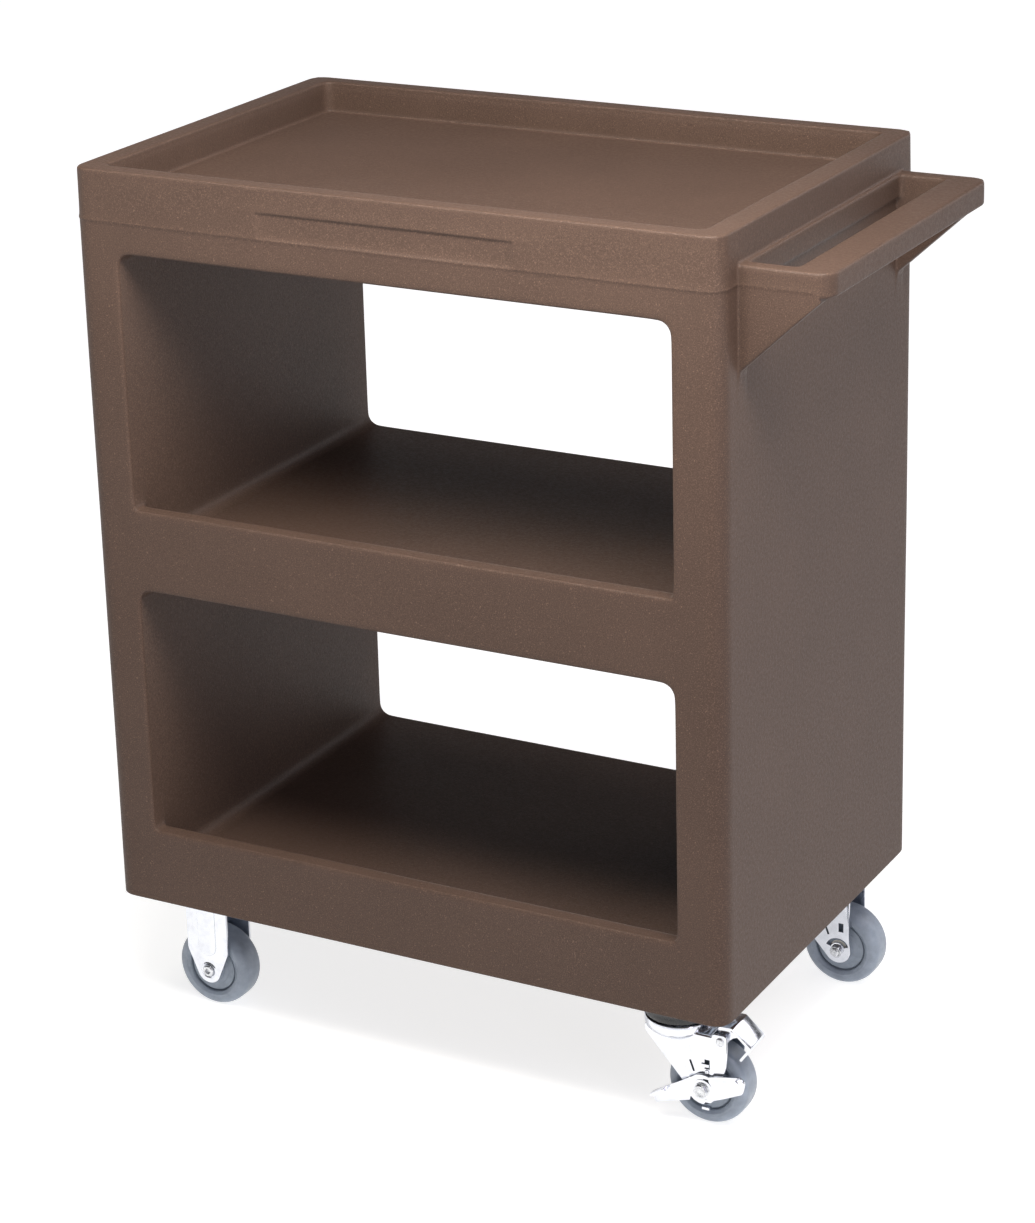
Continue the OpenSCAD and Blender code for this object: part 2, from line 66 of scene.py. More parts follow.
def middle_mm(node):
    """Middle of a CAD node's box, in millimetres."""
    return [(low + high) / 2 for low, high in zip(*node_mm(node))]


# ---------- materials ----------


class Shader:
    """A material's node tree, with short helpers to build it."""

    def __init__(self, name, color, roughness, metallic=0.0, specular=0.5):
        self.material = bpy.data.materials.new(name)
        self.material.use_nodes = True
        self.material.diffuse_color = (*color, 1.0)
        self.tree = self.material.node_tree
        self.main = self.tree.nodes["Principled BSDF"]
        self.main.inputs["Base Color"].default_value = (*color, 1.0)
        self.main.inputs["Roughness"].default_value = roughness
        self.main.inputs["Metallic"].default_value = metallic
        self.main.inputs["Specular IOR Level"].default_value = specular
        self.place = self.tree.nodes.new("ShaderNodeTexCoord").outputs["Object"]
        self.bumps = None

    def link(self, source, target):
        self.tree.links.new(source, target)

    def noise(self, grain_mm, detail=2.0, roughness=0.5, stretch=(1, 1, 1)):
        """Noise whose grains are about grain_mm across."""
        scale = self.tree.nodes.new("ShaderNodeMapping")
        scale.inputs["Scale"].default_value = [s / (grain_mm * MM) for s in stretch]
        self.link(self.place, scale.inputs["Vector"])
        node = self.tree.nodes.new("ShaderNodeTexNoise")
        node.inputs["Scale"].default_value = 1.0
        node.inputs["Detail"].default_value = detail
        node.inputs["Roughness"].default_value = roughness
        self.link(scale.outputs["Vector"], node.inputs["Vector"])
        return node.outputs["Fac"]

    def fit(self, source, low, high, to_low, to_high):
        """Maps a value from one range to another."""
        node = self.tree.nodes.new("ShaderNodeMapRange")
        node.inputs["From Min"].default_value = low
        node.inputs["From Max"].default_value = high
        node.inputs["To Min"].default_value = to_low
        node.inputs["To Max"].default_value = to_high
        self.link(source, node.inputs["Value"])
        return node.outputs["Result"]

    def patches(self, grain_mm, detail, low, high, edges=(0.3, 0.7)):
        """Wanders from low to high in patches about grain_mm across. The two edges are the
        noise values where it reaches low and high."""
        return self.fit(self.noise(grain_mm, detail), *edges, low, high)

    def mix(self, factor, a, b):
        """Mixes two colours; each is a socket or an RGB triple."""
        node = self.tree.nodes.new("ShaderNodeMix")
        node.data_type = "RGBA"
        self.link(factor, node.inputs["Factor"])
        for name, value in (("A", a), ("B", b)):
            socket = [s for s in node.inputs if s.name == name and s.type == "RGBA"][0]
            if isinstance(value, tuple):
                socket.default_value = (*value, 1.0)
            else:
                self.link(value, socket)
        return [s for s in node.outputs if s.type == "RGBA"][0]

    def bump(self, height, depth_mm, strength):
        """Adds a relief of depth_mm on top of the reliefs added before."""
        node = self.tree.nodes.new("ShaderNodeBump")
        node.inputs["Strength"].default_value = strength
        node.inputs["Distance"].default_value = depth_mm * MM
        self.link(height, node.inputs["Height"])
        if self.bumps is not None:
            self.link(self.bumps, node.inputs["Normal"])
        self.bumps = node.outputs["Normal"]
        self.link(self.bumps, self.main.inputs["Normal"])

    def color(self, socket):
        self.link(socket, self.main.inputs["Base Color"])

    def roughness(self, socket):
        self.link(socket, self.main.inputs["Roughness"])


def shade(color, factor):
    """The same colour, lighter or darker."""
    return tuple(c * factor for c in color)


def plain(name, color, roughness, gloss, relief, metallic=0.0):
    """A single colour. gloss is the grain, lowest and highest roughness; relief is the grain
    and depth of the surface. Grains and depths are in millimetres."""
    s = Shader(name, color, roughness, metallic)
    gloss_grain, low, high = gloss
    s.roughness(s.patches(gloss_grain, 2.0, low, high))
    relief_grain, depth = relief
    s.bump(s.noise(relief_grain), depth, 0.3)
    return s.material


def moulded_plastic():
    """Brown polyethylene: orange-peel skin, fine pale speckle, faint clouding."""
    brown = (0.060, 0.0378, 0.0290)
    s = Shader("moulded_brown", brown, 0.5, specular=0.14)
    clouds = s.patches(90, 3.0, 0.0, 1.0)
    tone = s.mix(clouds, shade(brown, 0.94), shade(brown, 1.06))
    speckle = s.patches(1.0, 1.0, 0.0, 1.0, (0.50, 0.72))
    tone = s.mix(speckle, tone, shade(brown, 1.62))
    pits = s.patches(1.2, 1.0, 0.45, 0.0, (0.30, 0.44))
    tone = s.mix(pits, tone, shade(brown, 0.55))
    flecks = s.patches(1.7, 1.0, 0.0, 0.6, (0.70, 0.76))
    s.color(s.mix(flecks, tone, shade(brown, 2.6)))
    s.roughness(s.patches(3.0, 2.0, 0.42, 0.58))
    s.bump(s.noise(2.2), 0.4, 0.35)
    s.bump(s.noise(0.8, 1.0), 0.18, 0.3)
    return s.material


def black_plastic():
    return plain("plug_black", (0.02, 0.019, 0.018), 0.5, (2.0, 0.4, 0.6), (1.0, 0.1))


def wheel_rubber():
    """Blue-grey non-marking rubber with a dusty bloom and fine scuffs."""
    grey = (0.205, 0.240, 0.295)
    s = Shader("rubber_blue_grey", grey, 0.4)
    bloom = s.patches(9.0, 3.0, 0.0, 1.0, (0.35, 0.7))
    tone = s.mix(bloom, shade(grey, 0.88), shade(grey, 1.12))
    dust = s.patches(0.9, 2.0, 0.0, 0.35, (0.58, 0.78))
    s.color(s.mix(dust, tone, (0.34, 0.38, 0.43)))
    s.roughness(s.patches(2.5, 2.0, 0.30, 0.46))
    s.bump(s.noise(1.2), 0.06, 0.3)
    return s.material


def wheel_plastic():
    """Moulded wheel centre, close to the tyre's colour."""
    grey = (0.200, 0.235, 0.285)
    s = Shader("core_blue_grey", grey, 0.42, specular=0.45)
    cloud = s.patches(6.0, 2.0, 0.0, 1.0)
    s.color(s.mix(cloud, shade(grey, 0.9), shade(grey, 1.1)))
    s.roughness(s.patches(1.5, 2.0, 0.34, 0.5))
    s.bump(s.noise(1.5), 0.08, 0.3)
    return s.material


def bright_chrome():
    """Bright plate over pressed steel, slightly wavy, with faint rolling marks."""
    s = Shader("chrome_bright", (0.80, 0.82, 0.85), 0.12, metallic=1.0)
    stain = s.patches(9.0, 3.0, 0.0, 1.0, (0.45, 0.8))
    s.color(s.mix(stain, (0.68, 0.70, 0.75), (0.58, 0.60, 0.65)))
    s.roughness(s.patches(5.0, 3.0, 0.10, 0.20, (0.3, 0.75)))
    s.bump(s.noise(9.0, 1.0), 0.12, 0.25)
    s.bump(s.noise(0.9), 0.02, 0.3)
    return s.material


def zinc_plate():
    """Dull zinc plate with the grain of rolled sheet."""
    along_sheet = (1, 1, 0.15)
    s = Shader("zinc_plate", (0.62, 0.65, 0.69), 0.33, metallic=1.0)
    grain = s.fit(s.noise(0.9, 3.0, 0.6, along_sheet), 0.3, 0.7, 0.0, 1.0)
    s.color(s.mix(grain, (0.53, 0.585, 0.67), (0.47, 0.52, 0.60)))
    s.roughness(s.patches(1.2, 3.0, 0.30, 0.38))
    s.bump(s.noise(1.2, stretch=along_sheet), 0.06, 0.3)
    return s.material


def fastener_steel():
    """Bright steel with darker worn patches."""
    s = Shader("fastener_steel", (0.55, 0.57, 0.60), 0.28, metallic=1.0)
    wear = s.patches(2.5, 3.0, 0.0, 1.0, (0.35, 0.7))
    s.color(s.mix(wear, (0.66, 0.68, 0.71), (0.42, 0.43, 0.45)))
    s.roughness(s.patches(1.2, 2.0, 0.2, 0.38))
    s.bump(s.noise(0.8), 0.04, 0.3)
    return s.material


def bearing_nylon():
    return plain("nylon_natural", (0.70, 0.68, 0.62), 0.4, (1.5, 0.32, 0.48), (1.0, 0.05))


# Near-black gloss for the race seal: painted shade and painted dark reflection for the shadowed
# ball race cavity.
def painted_shade_seal_finish():
    return plain("seal_black", (0.012, 0.013, 0.015), 0.28, (2.5, 0.2, 0.42), (1.5, 0.1))


def insert_brass():
    return plain("brass_plain", (0.62, 0.44, 0.16), 0.3, (1.5, 0.22, 0.4), (0.8, 0.04), 1.0)


MATERIALS = {
    "body_plastic": moulded_plastic(),
    "plug_plastic": black_plastic(),
    "wheel_rubber": wheel_rubber(),
    "wheel_core": wheel_plastic(),
    "bright_chrome": bright_chrome(),
    "zinc_plate": zinc_plate(),
    "fastener_steel": fastener_steel(),
    "bearing_nylon": bearing_nylon(),
    "seal_black": painted_shade_seal_finish(),
    "insert_brass": insert_brass(),
}
SLOT_OF = {part["node"]: part["material_slot"] for part in frame["record"]["subparts"]}
BODY_OF = {
    node: body
    for body, nodes in frame["record"]["behaviour"]["bodies"].items()
    for node in nodes
}


# ---------- mesh tools ----------


def mesh_object(name, points, faces, unit=MM):
    """A new object in the scene; its points are given in unit."""
    mesh = bpy.data.meshes.new(name)
    mesh.from_pydata([Vector(p) * unit for p in points], [], faces)
    obj = bpy.data.objects.new(name, mesh)
    bpy.context.scene.collection.objects.link(obj)
    return obj


def weld(mesh):
    """Merges doubled points and turns every face outwards."""
    work = bmesh.new()
    work.from_mesh(mesh)
    bmesh.ops.remove_doubles(work, verts=work.verts, dist=SAME_POINT)
    bmesh.ops.recalc_face_normals(work, faces=work.faces)
    work.to_mesh(mesh)
    work.free()


def finish_piece(obj, node, sharp):
    """Smooth shading with sharp edges. The piece stands for a CAD node, and gets its body and
    the material of its slot."""
    weld(obj.data)
    obj.data.polygons.foreach_set("use_smooth", [True] * len(obj.data.polygons))
    obj.data.set_sharp_from_angle(angle=math.radians(sharp))
    obj.data.materials.clear()
    obj.data.materials.append(MATERIALS[SLOT_OF[node]])
    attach(obj, BODY_OF[node])
    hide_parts(node)


def piece(name, shape, node, sharp):
    """Makes the piece that stands for a CAD node from (points, faces) in millimetres."""
    obj = mesh_object(name, *shape)
    obj.data.validate()
    finish_piece(obj, node, sharp)
    return obj


def prism(outline, y0, y1):
    """An X-Z outline carried along Y, as (points, faces)."""
    n = len(outline)
    points = [(x, y0, z) for x, z in outline] + [(x, y1, z) for x, z in outline]
    faces = [tuple(range(n))[::-1], tuple(range(n, 2 * n))]
    faces += [(i, (i + 1) % n, n + (i + 1) % n, n + i) for i in range(n)]
    return points, faces


def arc(cx, cz, radius, start, end, steps):
    """Points of a circular arc; angles in degrees."""
    angles = [math.radians(start + (end - start) * i / steps) for i in range(steps + 1)]
    return [(cx + radius * math.cos(a), cz + radius * math.sin(a)) for a in angles]


def lathe(profile, centre, axis, segments):
    """Turns a closed (radius, height) profile about an axis through centre, as (points,
    faces). Points on the axis are merged later, so a profile that starts and ends there
    is solid."""
    points, faces = [], []
    count = len(profile)
    for i in range(segments):
        a = 2 * math.pi * i / segments
        for r, h in profile:
            u, v = r * math.cos(a), r * math.sin(a)
            local = (u, h, v) if axis == "Y" else (u, v, h)
            points.append(tuple(c + p for c, p in zip(centre, local)))
    for i in range(segments):
        j = (i + 1) % segments
        for k in range(count):
            m = (k + 1) % count
            if profile[k][0] > 0 or profile[m][0] > 0:
                faces.append((i * count + k, j * count + k, j * count + m, i * count + m))
    return points, faces


def joined(*shapes):
    """Several (points, faces) as one."""
    points, faces = [], []
    for more_points, more_faces in shapes:
        start = len(points)
        points += more_points
        faces += [tuple(start + i for i in face) for face in more_faces]
    return points, faces


class Solid:
    """A closed mesh while it is being shaped; shapes are (points, faces) in millimetres."""

    def __init__(self, shape):
        self.obj = self.make(shape)

    def make(self, shape):
        obj = mesh_object("shape", *shape)
        weld(obj.data)
        return obj

    def bake(self):
        """Applies the modifiers."""
        bpy.context.view_layer.update()
        graph = bpy.context.evaluated_depsgraph_get()
        mesh = bpy.data.meshes.new_from_object(self.obj.evaluated_get(graph))
        old = self.obj.data
        self.obj.modifiers.clear()
        self.obj.data = mesh
        bpy.data.meshes.remove(old)

    def combine(self, tool, operation):
        step = self.obj.modifiers.new("combine", "BOOLEAN")
        step.operation = operation
        step.solver = "EXACT"
        step.object = tool
        self.bake()
        bpy.data.objects.remove(tool)

    def add(self, shape):
        self.combine(self.make(shape), "UNION")

    def add_solid(self, other):
        self.combine(other.obj, "UNION")

    def cut(self, shape):
        self.combine(self.make(shape), "DIFFERENCE")

    def keep(self, shape):
        self.combine(self.make(shape), "INTERSECT")

    def join(self, *shapes):
        """Lays closed shapes over this one without cutting either."""
        for shape in shapes:
            self.join_object(self.make(shape))

    def join_solid(self, other):
        self.join_object(other.obj)

    def join_object(self, other):
        work = bmesh.new()
        work.from_mesh(self.obj.data)
        work.from_mesh(other.data)
        work.to_mesh(self.obj.data)
        work.free()
        bpy.data.objects.remove(other)

    def soften(self, width_mm, segments=2, angle=SHARP):
        """Rounds every edge sharper than angle, in degrees."""
        step = self.obj.modifiers.new("soften", "BEVEL")
        step.width = width_mm * MM
        step.segments = segments
        step.limit_method = "ANGLE"
        step.angle_limit = math.radians(angle)
        step.use_clamp_overlap = True
        self.bake()

    def finish(self, name, node):
        """Turns the shape into the piece that stands for a CAD node."""
        self.obj.name = name
        self.obj.data.name = name
        finish_piece(self.obj, node, SHARP)


# ---------- the moulded body ----------

# The block: two ends and three decks, with the handle beyond X1. Sills are the tops of the
# front lips, and each bay's floor lies SHELF_DROP below its sill.
BODY_LO, BODY_HI = node_mm("cart_body")
FLOOR_Z = BODY_LO.z
TOP_Z = BODY_HI.z
HALF_W = BODY_HI.y
X0 = BODY_LO.x
REACH = 80.0
X1 = BODY_HI.x - REACH
CX = (X0 + X1) / 2
CORNER_R, TOP_R, FOOT_R = 16.0, 10.0, 7.0
BAY_HALF = 265.5
LIP_Y = -HALF_W + 16
SILLS = (FLOOR_Z + 72, FLOOR_Z + 382)
BAY_H = 235.0
SHELF_DROP = 38.0
BAY_TOP_R, BAY_FLOOR_R, SILL_R, LIP_FOOT_R, BACK_R = 13.0, 12.0, 5.0, 10.0, 16.0
TRAY_Z = TOP_Z - 29
RIM_END, RIM_SIDE, TRAY_R, RIM_IN_R = 24.0, 20.0, 8.0, 6.0
RIM_FLARE = 0.02

# The handle: a bar with a slot behind it, on two slanted webs.
HANDLE_TOP = TOP_Z - 29
HANDLE_BOT = HANDLE_TOP - 21
HANDLE_HALF, ARM_W = 172.0, 15.0
GRIP_X, SLOT_X = BODY_HI.x - 34, X1 + 3
HANDLE_R, SLOT_R = 15.0, 5.0
WEB_Z = HANDLE_BOT - 69
WEB_END = BODY_HI.x - 9

# The mould's parting ridge, the blank panel above it, and the slow wave of a moulded wall.
PARTING_Z = TOP_Z - 45
RIDGE, HANDLE_RIDGE = 1.0, 0.7
PANEL_X = (CX - 121, CX + 124)
PANEL_TOP = PARTING_Z + 23
PANEL_DEPTH, PANEL_EDGE = 1.3, 0.5
WAVE, WAVE_LENGTH, WAVE_SEED = 0.35, 170, 1

WIDEST_CELL, NARROWEST_CELL = 42, 0.9
ON_LINE = 0.1  # a point this close to a plane counts as on it


def in_body(x, y, z):
    """True where the body has material, before any edge is rounded."""
    side = abs(y)
    if x < X1:
        from_end = min(x - X0, X1 - x)
        if z > TRAY_Z and from_end > RIM_END and side < HALF_W - RIM_SIDE:
            return False
        if abs(x - CX) < BAY_HALF:
            for sill in SILLS:
                low = sill if y < LIP_Y else sill - SHELF_DROP
                if low < z < sill + BAY_H:
                    return False
        return True
    if side > HANDLE_HALF:
        return False
    if HANDLE_BOT < z < HANDLE_TOP:
        return not (SLOT_X < x < GRIP_X and side < HANDLE_HALF - ARM_W)
    return WEB_Z < z < HANDLE_BOT and side > HANDLE_HALF - ARM_W and x < WEB_END


def round_corner(u, v, r, near=0.0, fade=1e-6):
    """Moves a point of a square corner onto a round one. u and v run from the arc's centre
    to the corner. It works fully up to near beyond the radius, then fades out."""
    if u <= 0 or v <= 0:
        return u, v
    m = max(u, v)
    weight = 1.0 if m <= r + near + 1e-6 else max(0.0, 1 - (m - r - near) / fade)
    k = 1 + (m / math.hypot(u, v) - 1) * weight
    return u * k, v * k


def warp_handle(x, y, z):
    """Slants the webs under the handle and rounds its corners in plan."""
    side, sign = abs(y), math.copysign(1, y)
    if WEB_Z - 1 < z < HANDLE_BOT and side > HANDLE_HALF - ARM_W - 1:
        slant = max(0.05, min(1.0, (WEB_END + 3 - x) / (WEB_END + 3 - X1)))
        z = HANDLE_BOT - (HANDLE_BOT - z) * slant
    far = x - (BODY_HI.x - HANDLE_R)
    u, v = round_corner(far, side - (HANDLE_HALF - HANDLE_R), HANDLE_R, 2.0)
    if far > 0 and side > HANDLE_HALF - HANDLE_R:
        x, side = BODY_HI.x - HANDLE_R + u, HANDLE_HALF - HANDLE_R + v
    elif z > HANDLE_BOT - 1:
        slot_half = HANDLE_HALF - ARM_W - SLOT_R
        for centre, way in ((SLOT_X + SLOT_R, -1), (GRIP_X - SLOT_R, 1)):
            u, v = (x - centre) * way, side - slot_half
            if u > 0 and v > 0:
                u, v = round_corner(u, v, SLOT_R, 3.0, 5.0)
                x, side = centre + way * u, slot_half + v
    if abs(z - PARTING_Z) < ON_LINE and side > HANDLE_HALF - ON_LINE:
        side += HANDLE_RIDGE
    return x, sign * side, z


def warp_shell(x, y, z):
    """Rounds the body's outside: top and bottom edges, upright corners, rim and tray."""
    sx, sy = math.copysign(1, x - CX), math.copysign(1, y)
    dx, dy = min(x - X0, X1 - x), HALF_W - abs(y)
    depth = min(dx, dy)
    moved = depth
    if z > TOP_Z - TOP_R and depth < TOP_R:
        u, v = round_corner(TOP_R - depth, z - (TOP_Z - TOP_R), TOP_R)
        moved, z = TOP_R - u, TOP_Z - TOP_R + v
    elif z < FLOOR_Z + FOOT_R and depth < FOOT_R:
        u, v = round_corner(FOOT_R - depth, FLOOR_Z + FOOT_R - z, FOOT_R)
        moved, z = FOOT_R - u, FLOOR_Z + FOOT_R - v
    if depth < 12 and z > PARTING_Z:
        moved += RIM_FLARE * (z - PARTING_Z) * (1 - depth / 12)
    if depth < ON_LINE and abs(z - PARTING_Z) < ON_LINE:
        moved -= RIDGE
    if depth == dx:
        dx = moved
    if depth == HALF_W - abs(y):
        dy = moved
    into = max(RIM_END - dx, RIM_SIDE - dy)
    if z > TOP_Z - RIM_IN_R and 0 <= into < RIM_IN_R:
        u, v = round_corner(RIM_IN_R - into, z - (TOP_Z - RIM_IN_R), RIM_IN_R)
        z = TOP_Z - RIM_IN_R + v
        if RIM_END - dx == into:
            dx = RIM_END - (RIM_IN_R - u)
        else:
            dy = RIM_SIDE - (RIM_IN_R - u)
    if dx < CORNER_R and dy < CORNER_R:
        u, v = round_corner(CORNER_R - dx, CORNER_R - dy, CORNER_R, 2.0)
        dx, dy = CORNER_R - u, CORNER_R - v
    elif z > TRAY_Z - 6:
        u, v = RIM_END + TRAY_R - dx, RIM_SIDE + TRAY_R - dy
        if u > 0 and v > 0:
            u, v = round_corner(u, v, TRAY_R, 3.0, 9.0)
            dx, dy = RIM_END + TRAY_R - u, RIM_SIDE + TRAY_R - v
    x = X0 + dx if sx < 0 else X1 - dx
    return x, sy * (HALF_W - dy), z


def warp_bay(x, y, z, sill):
    """Rounds one bay: its corners seen from the front, and its floor's front and back edges."""
    across, sx = abs(x - CX), math.copysign(1, x - CX)
    ceiling, floor = sill + BAY_H, sill - SHELF_DROP
    u, v = across - (BAY_HALF - BAY_TOP_R), z - (ceiling - BAY_TOP_R)
    if u > 0 and 0 < v < BAY_TOP_R + 21:
        u, v = round_corner(u, v, BAY_TOP_R, 4.0, 16.0)
        return CX + sx * (BAY_HALF - BAY_TOP_R + u), y, ceiling - BAY_TOP_R + v
    if y < LIP_Y + ON_LINE:
        u, v = across - (BAY_HALF - SILL_R), sill + SILL_R - z
        if u > 0 and 0 < v < SILL_R + 12:
            u, v = round_corner(u, v, SILL_R, 3.0, 8.0)
            return CX + sx * (BAY_HALF - SILL_R + u), y, sill + SILL_R - v
    if y > LIP_Y - ON_LINE:
        inner = min(1.0, max(0.0, (BAY_HALF - across) / BAY_FLOOR_R))
        if inner > 0:
            u, v = LIP_Y + LIP_FOOT_R - y, floor + LIP_FOOT_R - z
            if u > 0 and v > 0 and z > floor - ON_LINE:
                u, v = round_corner(u, v, LIP_FOOT_R)
                y += (LIP_Y + LIP_FOOT_R - u - y) * inner
                z += (floor + LIP_FOOT_R - v - z) * inner
            u, v = y - (HALF_W - BACK_R), z - (floor - BACK_R)
            if u > 0 and 0 < v < BACK_R + ON_LINE:
                u, v = round_corner(u, v, BACK_R)
                y += (HALF_W - BACK_R + u - y) * inner
                z += (floor - BACK_R + v - z) * inner
        u, v = across - (BAY_HALF - BAY_FLOOR_R), floor + BAY_FLOOR_R - z
        if u > 0 and 0 < v < BAY_FLOOR_R + 14:
            u, v = round_corner(u, v, BAY_FLOOR_R, 3.0, 10.0)
            x, z = CX + sx * (BAY_HALF - BAY_FLOOR_R + u), floor + BAY_FLOOR_R - v
    return x, y, z


def panel_shift(x, y, z):
    """How far a point of the front goes in for the blank panel, or out for its edge."""
    if y > -HALF_W + ON_LINE:
        return 0.0
    if not (PANEL_X[0] - 2 < x < PANEL_X[1] + 2 and PARTING_Z + 1 < z < PANEL_TOP + 2):
        return 0.0
    inside = PANEL_X[0] + 1 < x < PANEL_X[1] - 1 and z < PANEL_TOP - 1
    return PANEL_DEPTH if inside else -PANEL_EDGE


def warp_body(x, y, z):
    """Where a corner of the block grid goes on the real moulding."""
    shift = panel_shift(x, y, z)
    if x > X1 + ON_LINE:
        x, y, z = warp_handle(x, y, z)
    else:
        for sill in SILLS:
            if sill - SHELF_DROP - BACK_R - 1 < z < sill + BAY_H + 21:
                if abs(x - CX) < BAY_HALF + 20:
                    x, y, z = warp_bay(x, y, z, sill)
        x, y, z = warp_shell(x, y, z)
    y += shift
    wave = noise.noise_vector(Vector((x, y, z)) / WAVE_LENGTH)
    return x + WAVE * wave.x, y + WAVE * wave.y, z + WAVE * wave.z


def grid_lines(edges):
    """Sorted grid lines through the values in edges. Lines too close to the one before are
    left out, and wide gaps get more lines."""
    lines = sorted(set(round(e, 3) for e in edges))
    result = [lines[0]]
    for line in lines[1:]:
        start = result[-1]
        gap = line - start
        if gap >= NARROWEST_CELL:
            parts = math.ceil(gap / WIDEST_CELL)
            result += [start + gap * (i + 1) / parts for i in range(parts)]
    return result


def around(value, step):
    """A value with a line on both sides of it."""
    return [value, value - step, value + step]


def body_lines():
    """Grid lines along X, Y and Z: every face of the body, with support lines beside it."""
    rounding = (0, 3.5, 7, 11.5, 16)
    xs = [X0 + d for d in rounding] + [X1 - d for d in rounding]
    for sign in (-1, 1):
        xs += around(CX + sign * (BAY_HALF + 20.5), 4)
        xs += [CX + sign * (BAY_HALF + d) for d in (4, 0, -4, -8.5, -13)]
        xs += [CX + sign * (BAY_HALF + 12.5)]
    xs += around(PANEL_X[0], 1.4) + around(PANEL_X[1], 1.4)
    xs += [SLOT_X, SLOT_X + 3, SLOT_X + 6, GRIP_X - 6, GRIP_X - 3, GRIP_X, GRIP_X + 4]
    xs += [BODY_HI.x - d for d in (15, 12, 9, 4.5, 0)]
    ys = []
    for sign in (-1, 1):
        sides = [HALF_W - d for d in rounding] + [183, 179, 175, 172, 168.5]
        sides += [160.5, 157, 153.5, 150]
        ys += [sign * s for s in sides]
    zs = [FLOOR_Z + d for d in (0, 2, 4.5, 7)]
    for sill in SILLS:
        floor, ceiling = sill - SHELF_DROP, sill + BAY_H
        zs += [floor - d for d in (16, 11, 6.5, 3)] + [floor + d for d in (0, 4, 8, 12)]
        zs += [sill - 4, sill, sill + 5]
        zs += [ceiling - d for d in (13, 8.5, 4, 0, -4)]
    zs += [WEB_Z, WEB_Z + 4, HANDLE_BOT - 3.5, HANDLE_BOT, PARTING_Z - 1.2, PARTING_Z]
    zs += [PARTING_Z + 1.2, HANDLE_TOP - 4, HANDLE_TOP, HANDLE_TOP + 4]
    zs += around(PANEL_TOP, 1.3)
    zs += [TOP_Z - d for d in (15, 10, 6.5, 3, 0)]
    return grid_lines(xs), grid_lines(ys), grid_lines(zs)


def body_cage():
    """The outside of every solid block of the grid, each corner moved by warp_body."""
    lines = body_lines()
    mids = [[(a + b) / 2 for a, b in zip(axis, axis[1:])] for axis in lines]
    solid = np.zeros([len(m) + 2 for m in mids], bool)
    for i, x in enumerate(mids[0]):
        for j, y in enumerate(mids[1]):
            for k, z in enumerate(mids[2]):
                solid[i + 1, j + 1, k + 1] = in_body(x, y, z)
    index, points, faces = {}, [], []

    def corner(key):
        if key not in index:
            index[key] = len(points)
            points.append(warp_body(*(lines[a][key[a]] for a in range(3))))
        return index[key]

    for axis in range(3):
        u, v = (axis + 1) % 3, (axis + 2) % 3
        change = np.diff(solid.astype(int), axis=axis)
        for cell in np.argwhere(change):
            base = [int(c) - 1 for c in cell]
            base[axis] += 1
            ring = []
            for du, dv in ((0, 0), (1, 0), (1, 1), (0, 1)):
                key = list(base)
                key[u] += du
                key[v] += dv
                ring.append(corner(tuple(key)))
            faces.append(ring if change[tuple(cell)] < 0 else ring[::-1])
    return points, faces


def make_body():
    """The whole moulding as one smooth skin. The wave's noise starts from the clock unless it
    is seeded."""
    noise.seed_set(WAVE_SEED)
    body = piece("body_moulding", body_cage(), "cart_body", NOTHING_SHARP)
    step = body.modifiers.new("round", "SUBSURF")
    step.levels = 1
    step.render_levels = 1


# ---------- casters ----------

RIGID_X = middle_mm("fix_n_plate")[0]
SWIVEL_X = middle_mm("swv_n_plate")[0]
CASTER_Y = middle_mm("swv_f_tyre")[1]
AXLE_X = middle_mm("swv_n_tyre")[0]
AXLE_Z = middle_mm("swv_n_tyre")[2]
WHEEL_R = AXLE_Z
PLATE_Z = node_mm("fix_n_plate")[0].z
PLATE_HALF = (46, 30)
PLATE_R = 6
SHEET = 2.5
LEG_IN, LEG_OUT = 17.5, 20.0
CROWN_Z = node_mm("swv_n_kingnut")[1].z + 0.3
PIN_X = AXLE_X + 16
PIN_Z = AXLE_Z + 48
BOLT_PX, BOLT_PY = 36.5, 22.25
BOLT_HOLE_R = 4.4
HEX_R = 6.4
AXLE_R = 4.0
THREAD_PITCH, THREAD_LENGTH = 1.25, 7.5
SIDES = (("n", -1), ("f", 1))


def placed(shape, s):
    """A shape drawn round the middle plane of a caster, Y outwards, moved to side s."""
    points, faces = shape
    return [(x, s * (CASTER_Y + y), z) for x, y, z in points], faces


def plate_outline(cx):
    """A mounting plate's rectangle with round corners, as X-Y points."""
    points = []
    half_x, half_y = PLATE_HALF
    r = PLATE_R
    for sx, sy, start in ((1, 1, 0), (-1, 1, 90), (-1, -1, 180), (1, -1, 270)):
        points += arc(cx + sx * (half_x - r), sy * (half_y - r), r, start, start + 90, 6)
    return points


def bolt_places(cx):
    """The four bolts of a plate, from the caster's middle plane, as X-Y points."""
    return [(cx + dx, dy) for dx in (-BOLT_PX, BOLT_PX) for dy in (-BOLT_PY, BOLT_PY)]


def slab(outline, z0, z1):
    """An X-Y outline carried up Z."""
    points, faces = prism(outline, z0, z1)
    return [(x, z, y) for x, y, z in points], faces


def hexagon(cx, cz, r):
    corners = [math.pi / 3 * i for i in range(6)]
    return [(cx + r * math.cos(a), cz + r * math.sin(a)) for a in corners]


def turned(profile, x, z, s, segments=48):
    """A lathed shape about a line along Y through (x, z) of a caster on side s."""
    return placed(lathe(profile, (x, 0, z), "Y", segments), s)


def rod(x, z, radius, y0, y1, s):
    """A plain round bar along Y, to cut a hole with."""
    return turned([(0, y0), (radius, y0), (radius, y1), (0, y1)], x, z, s)


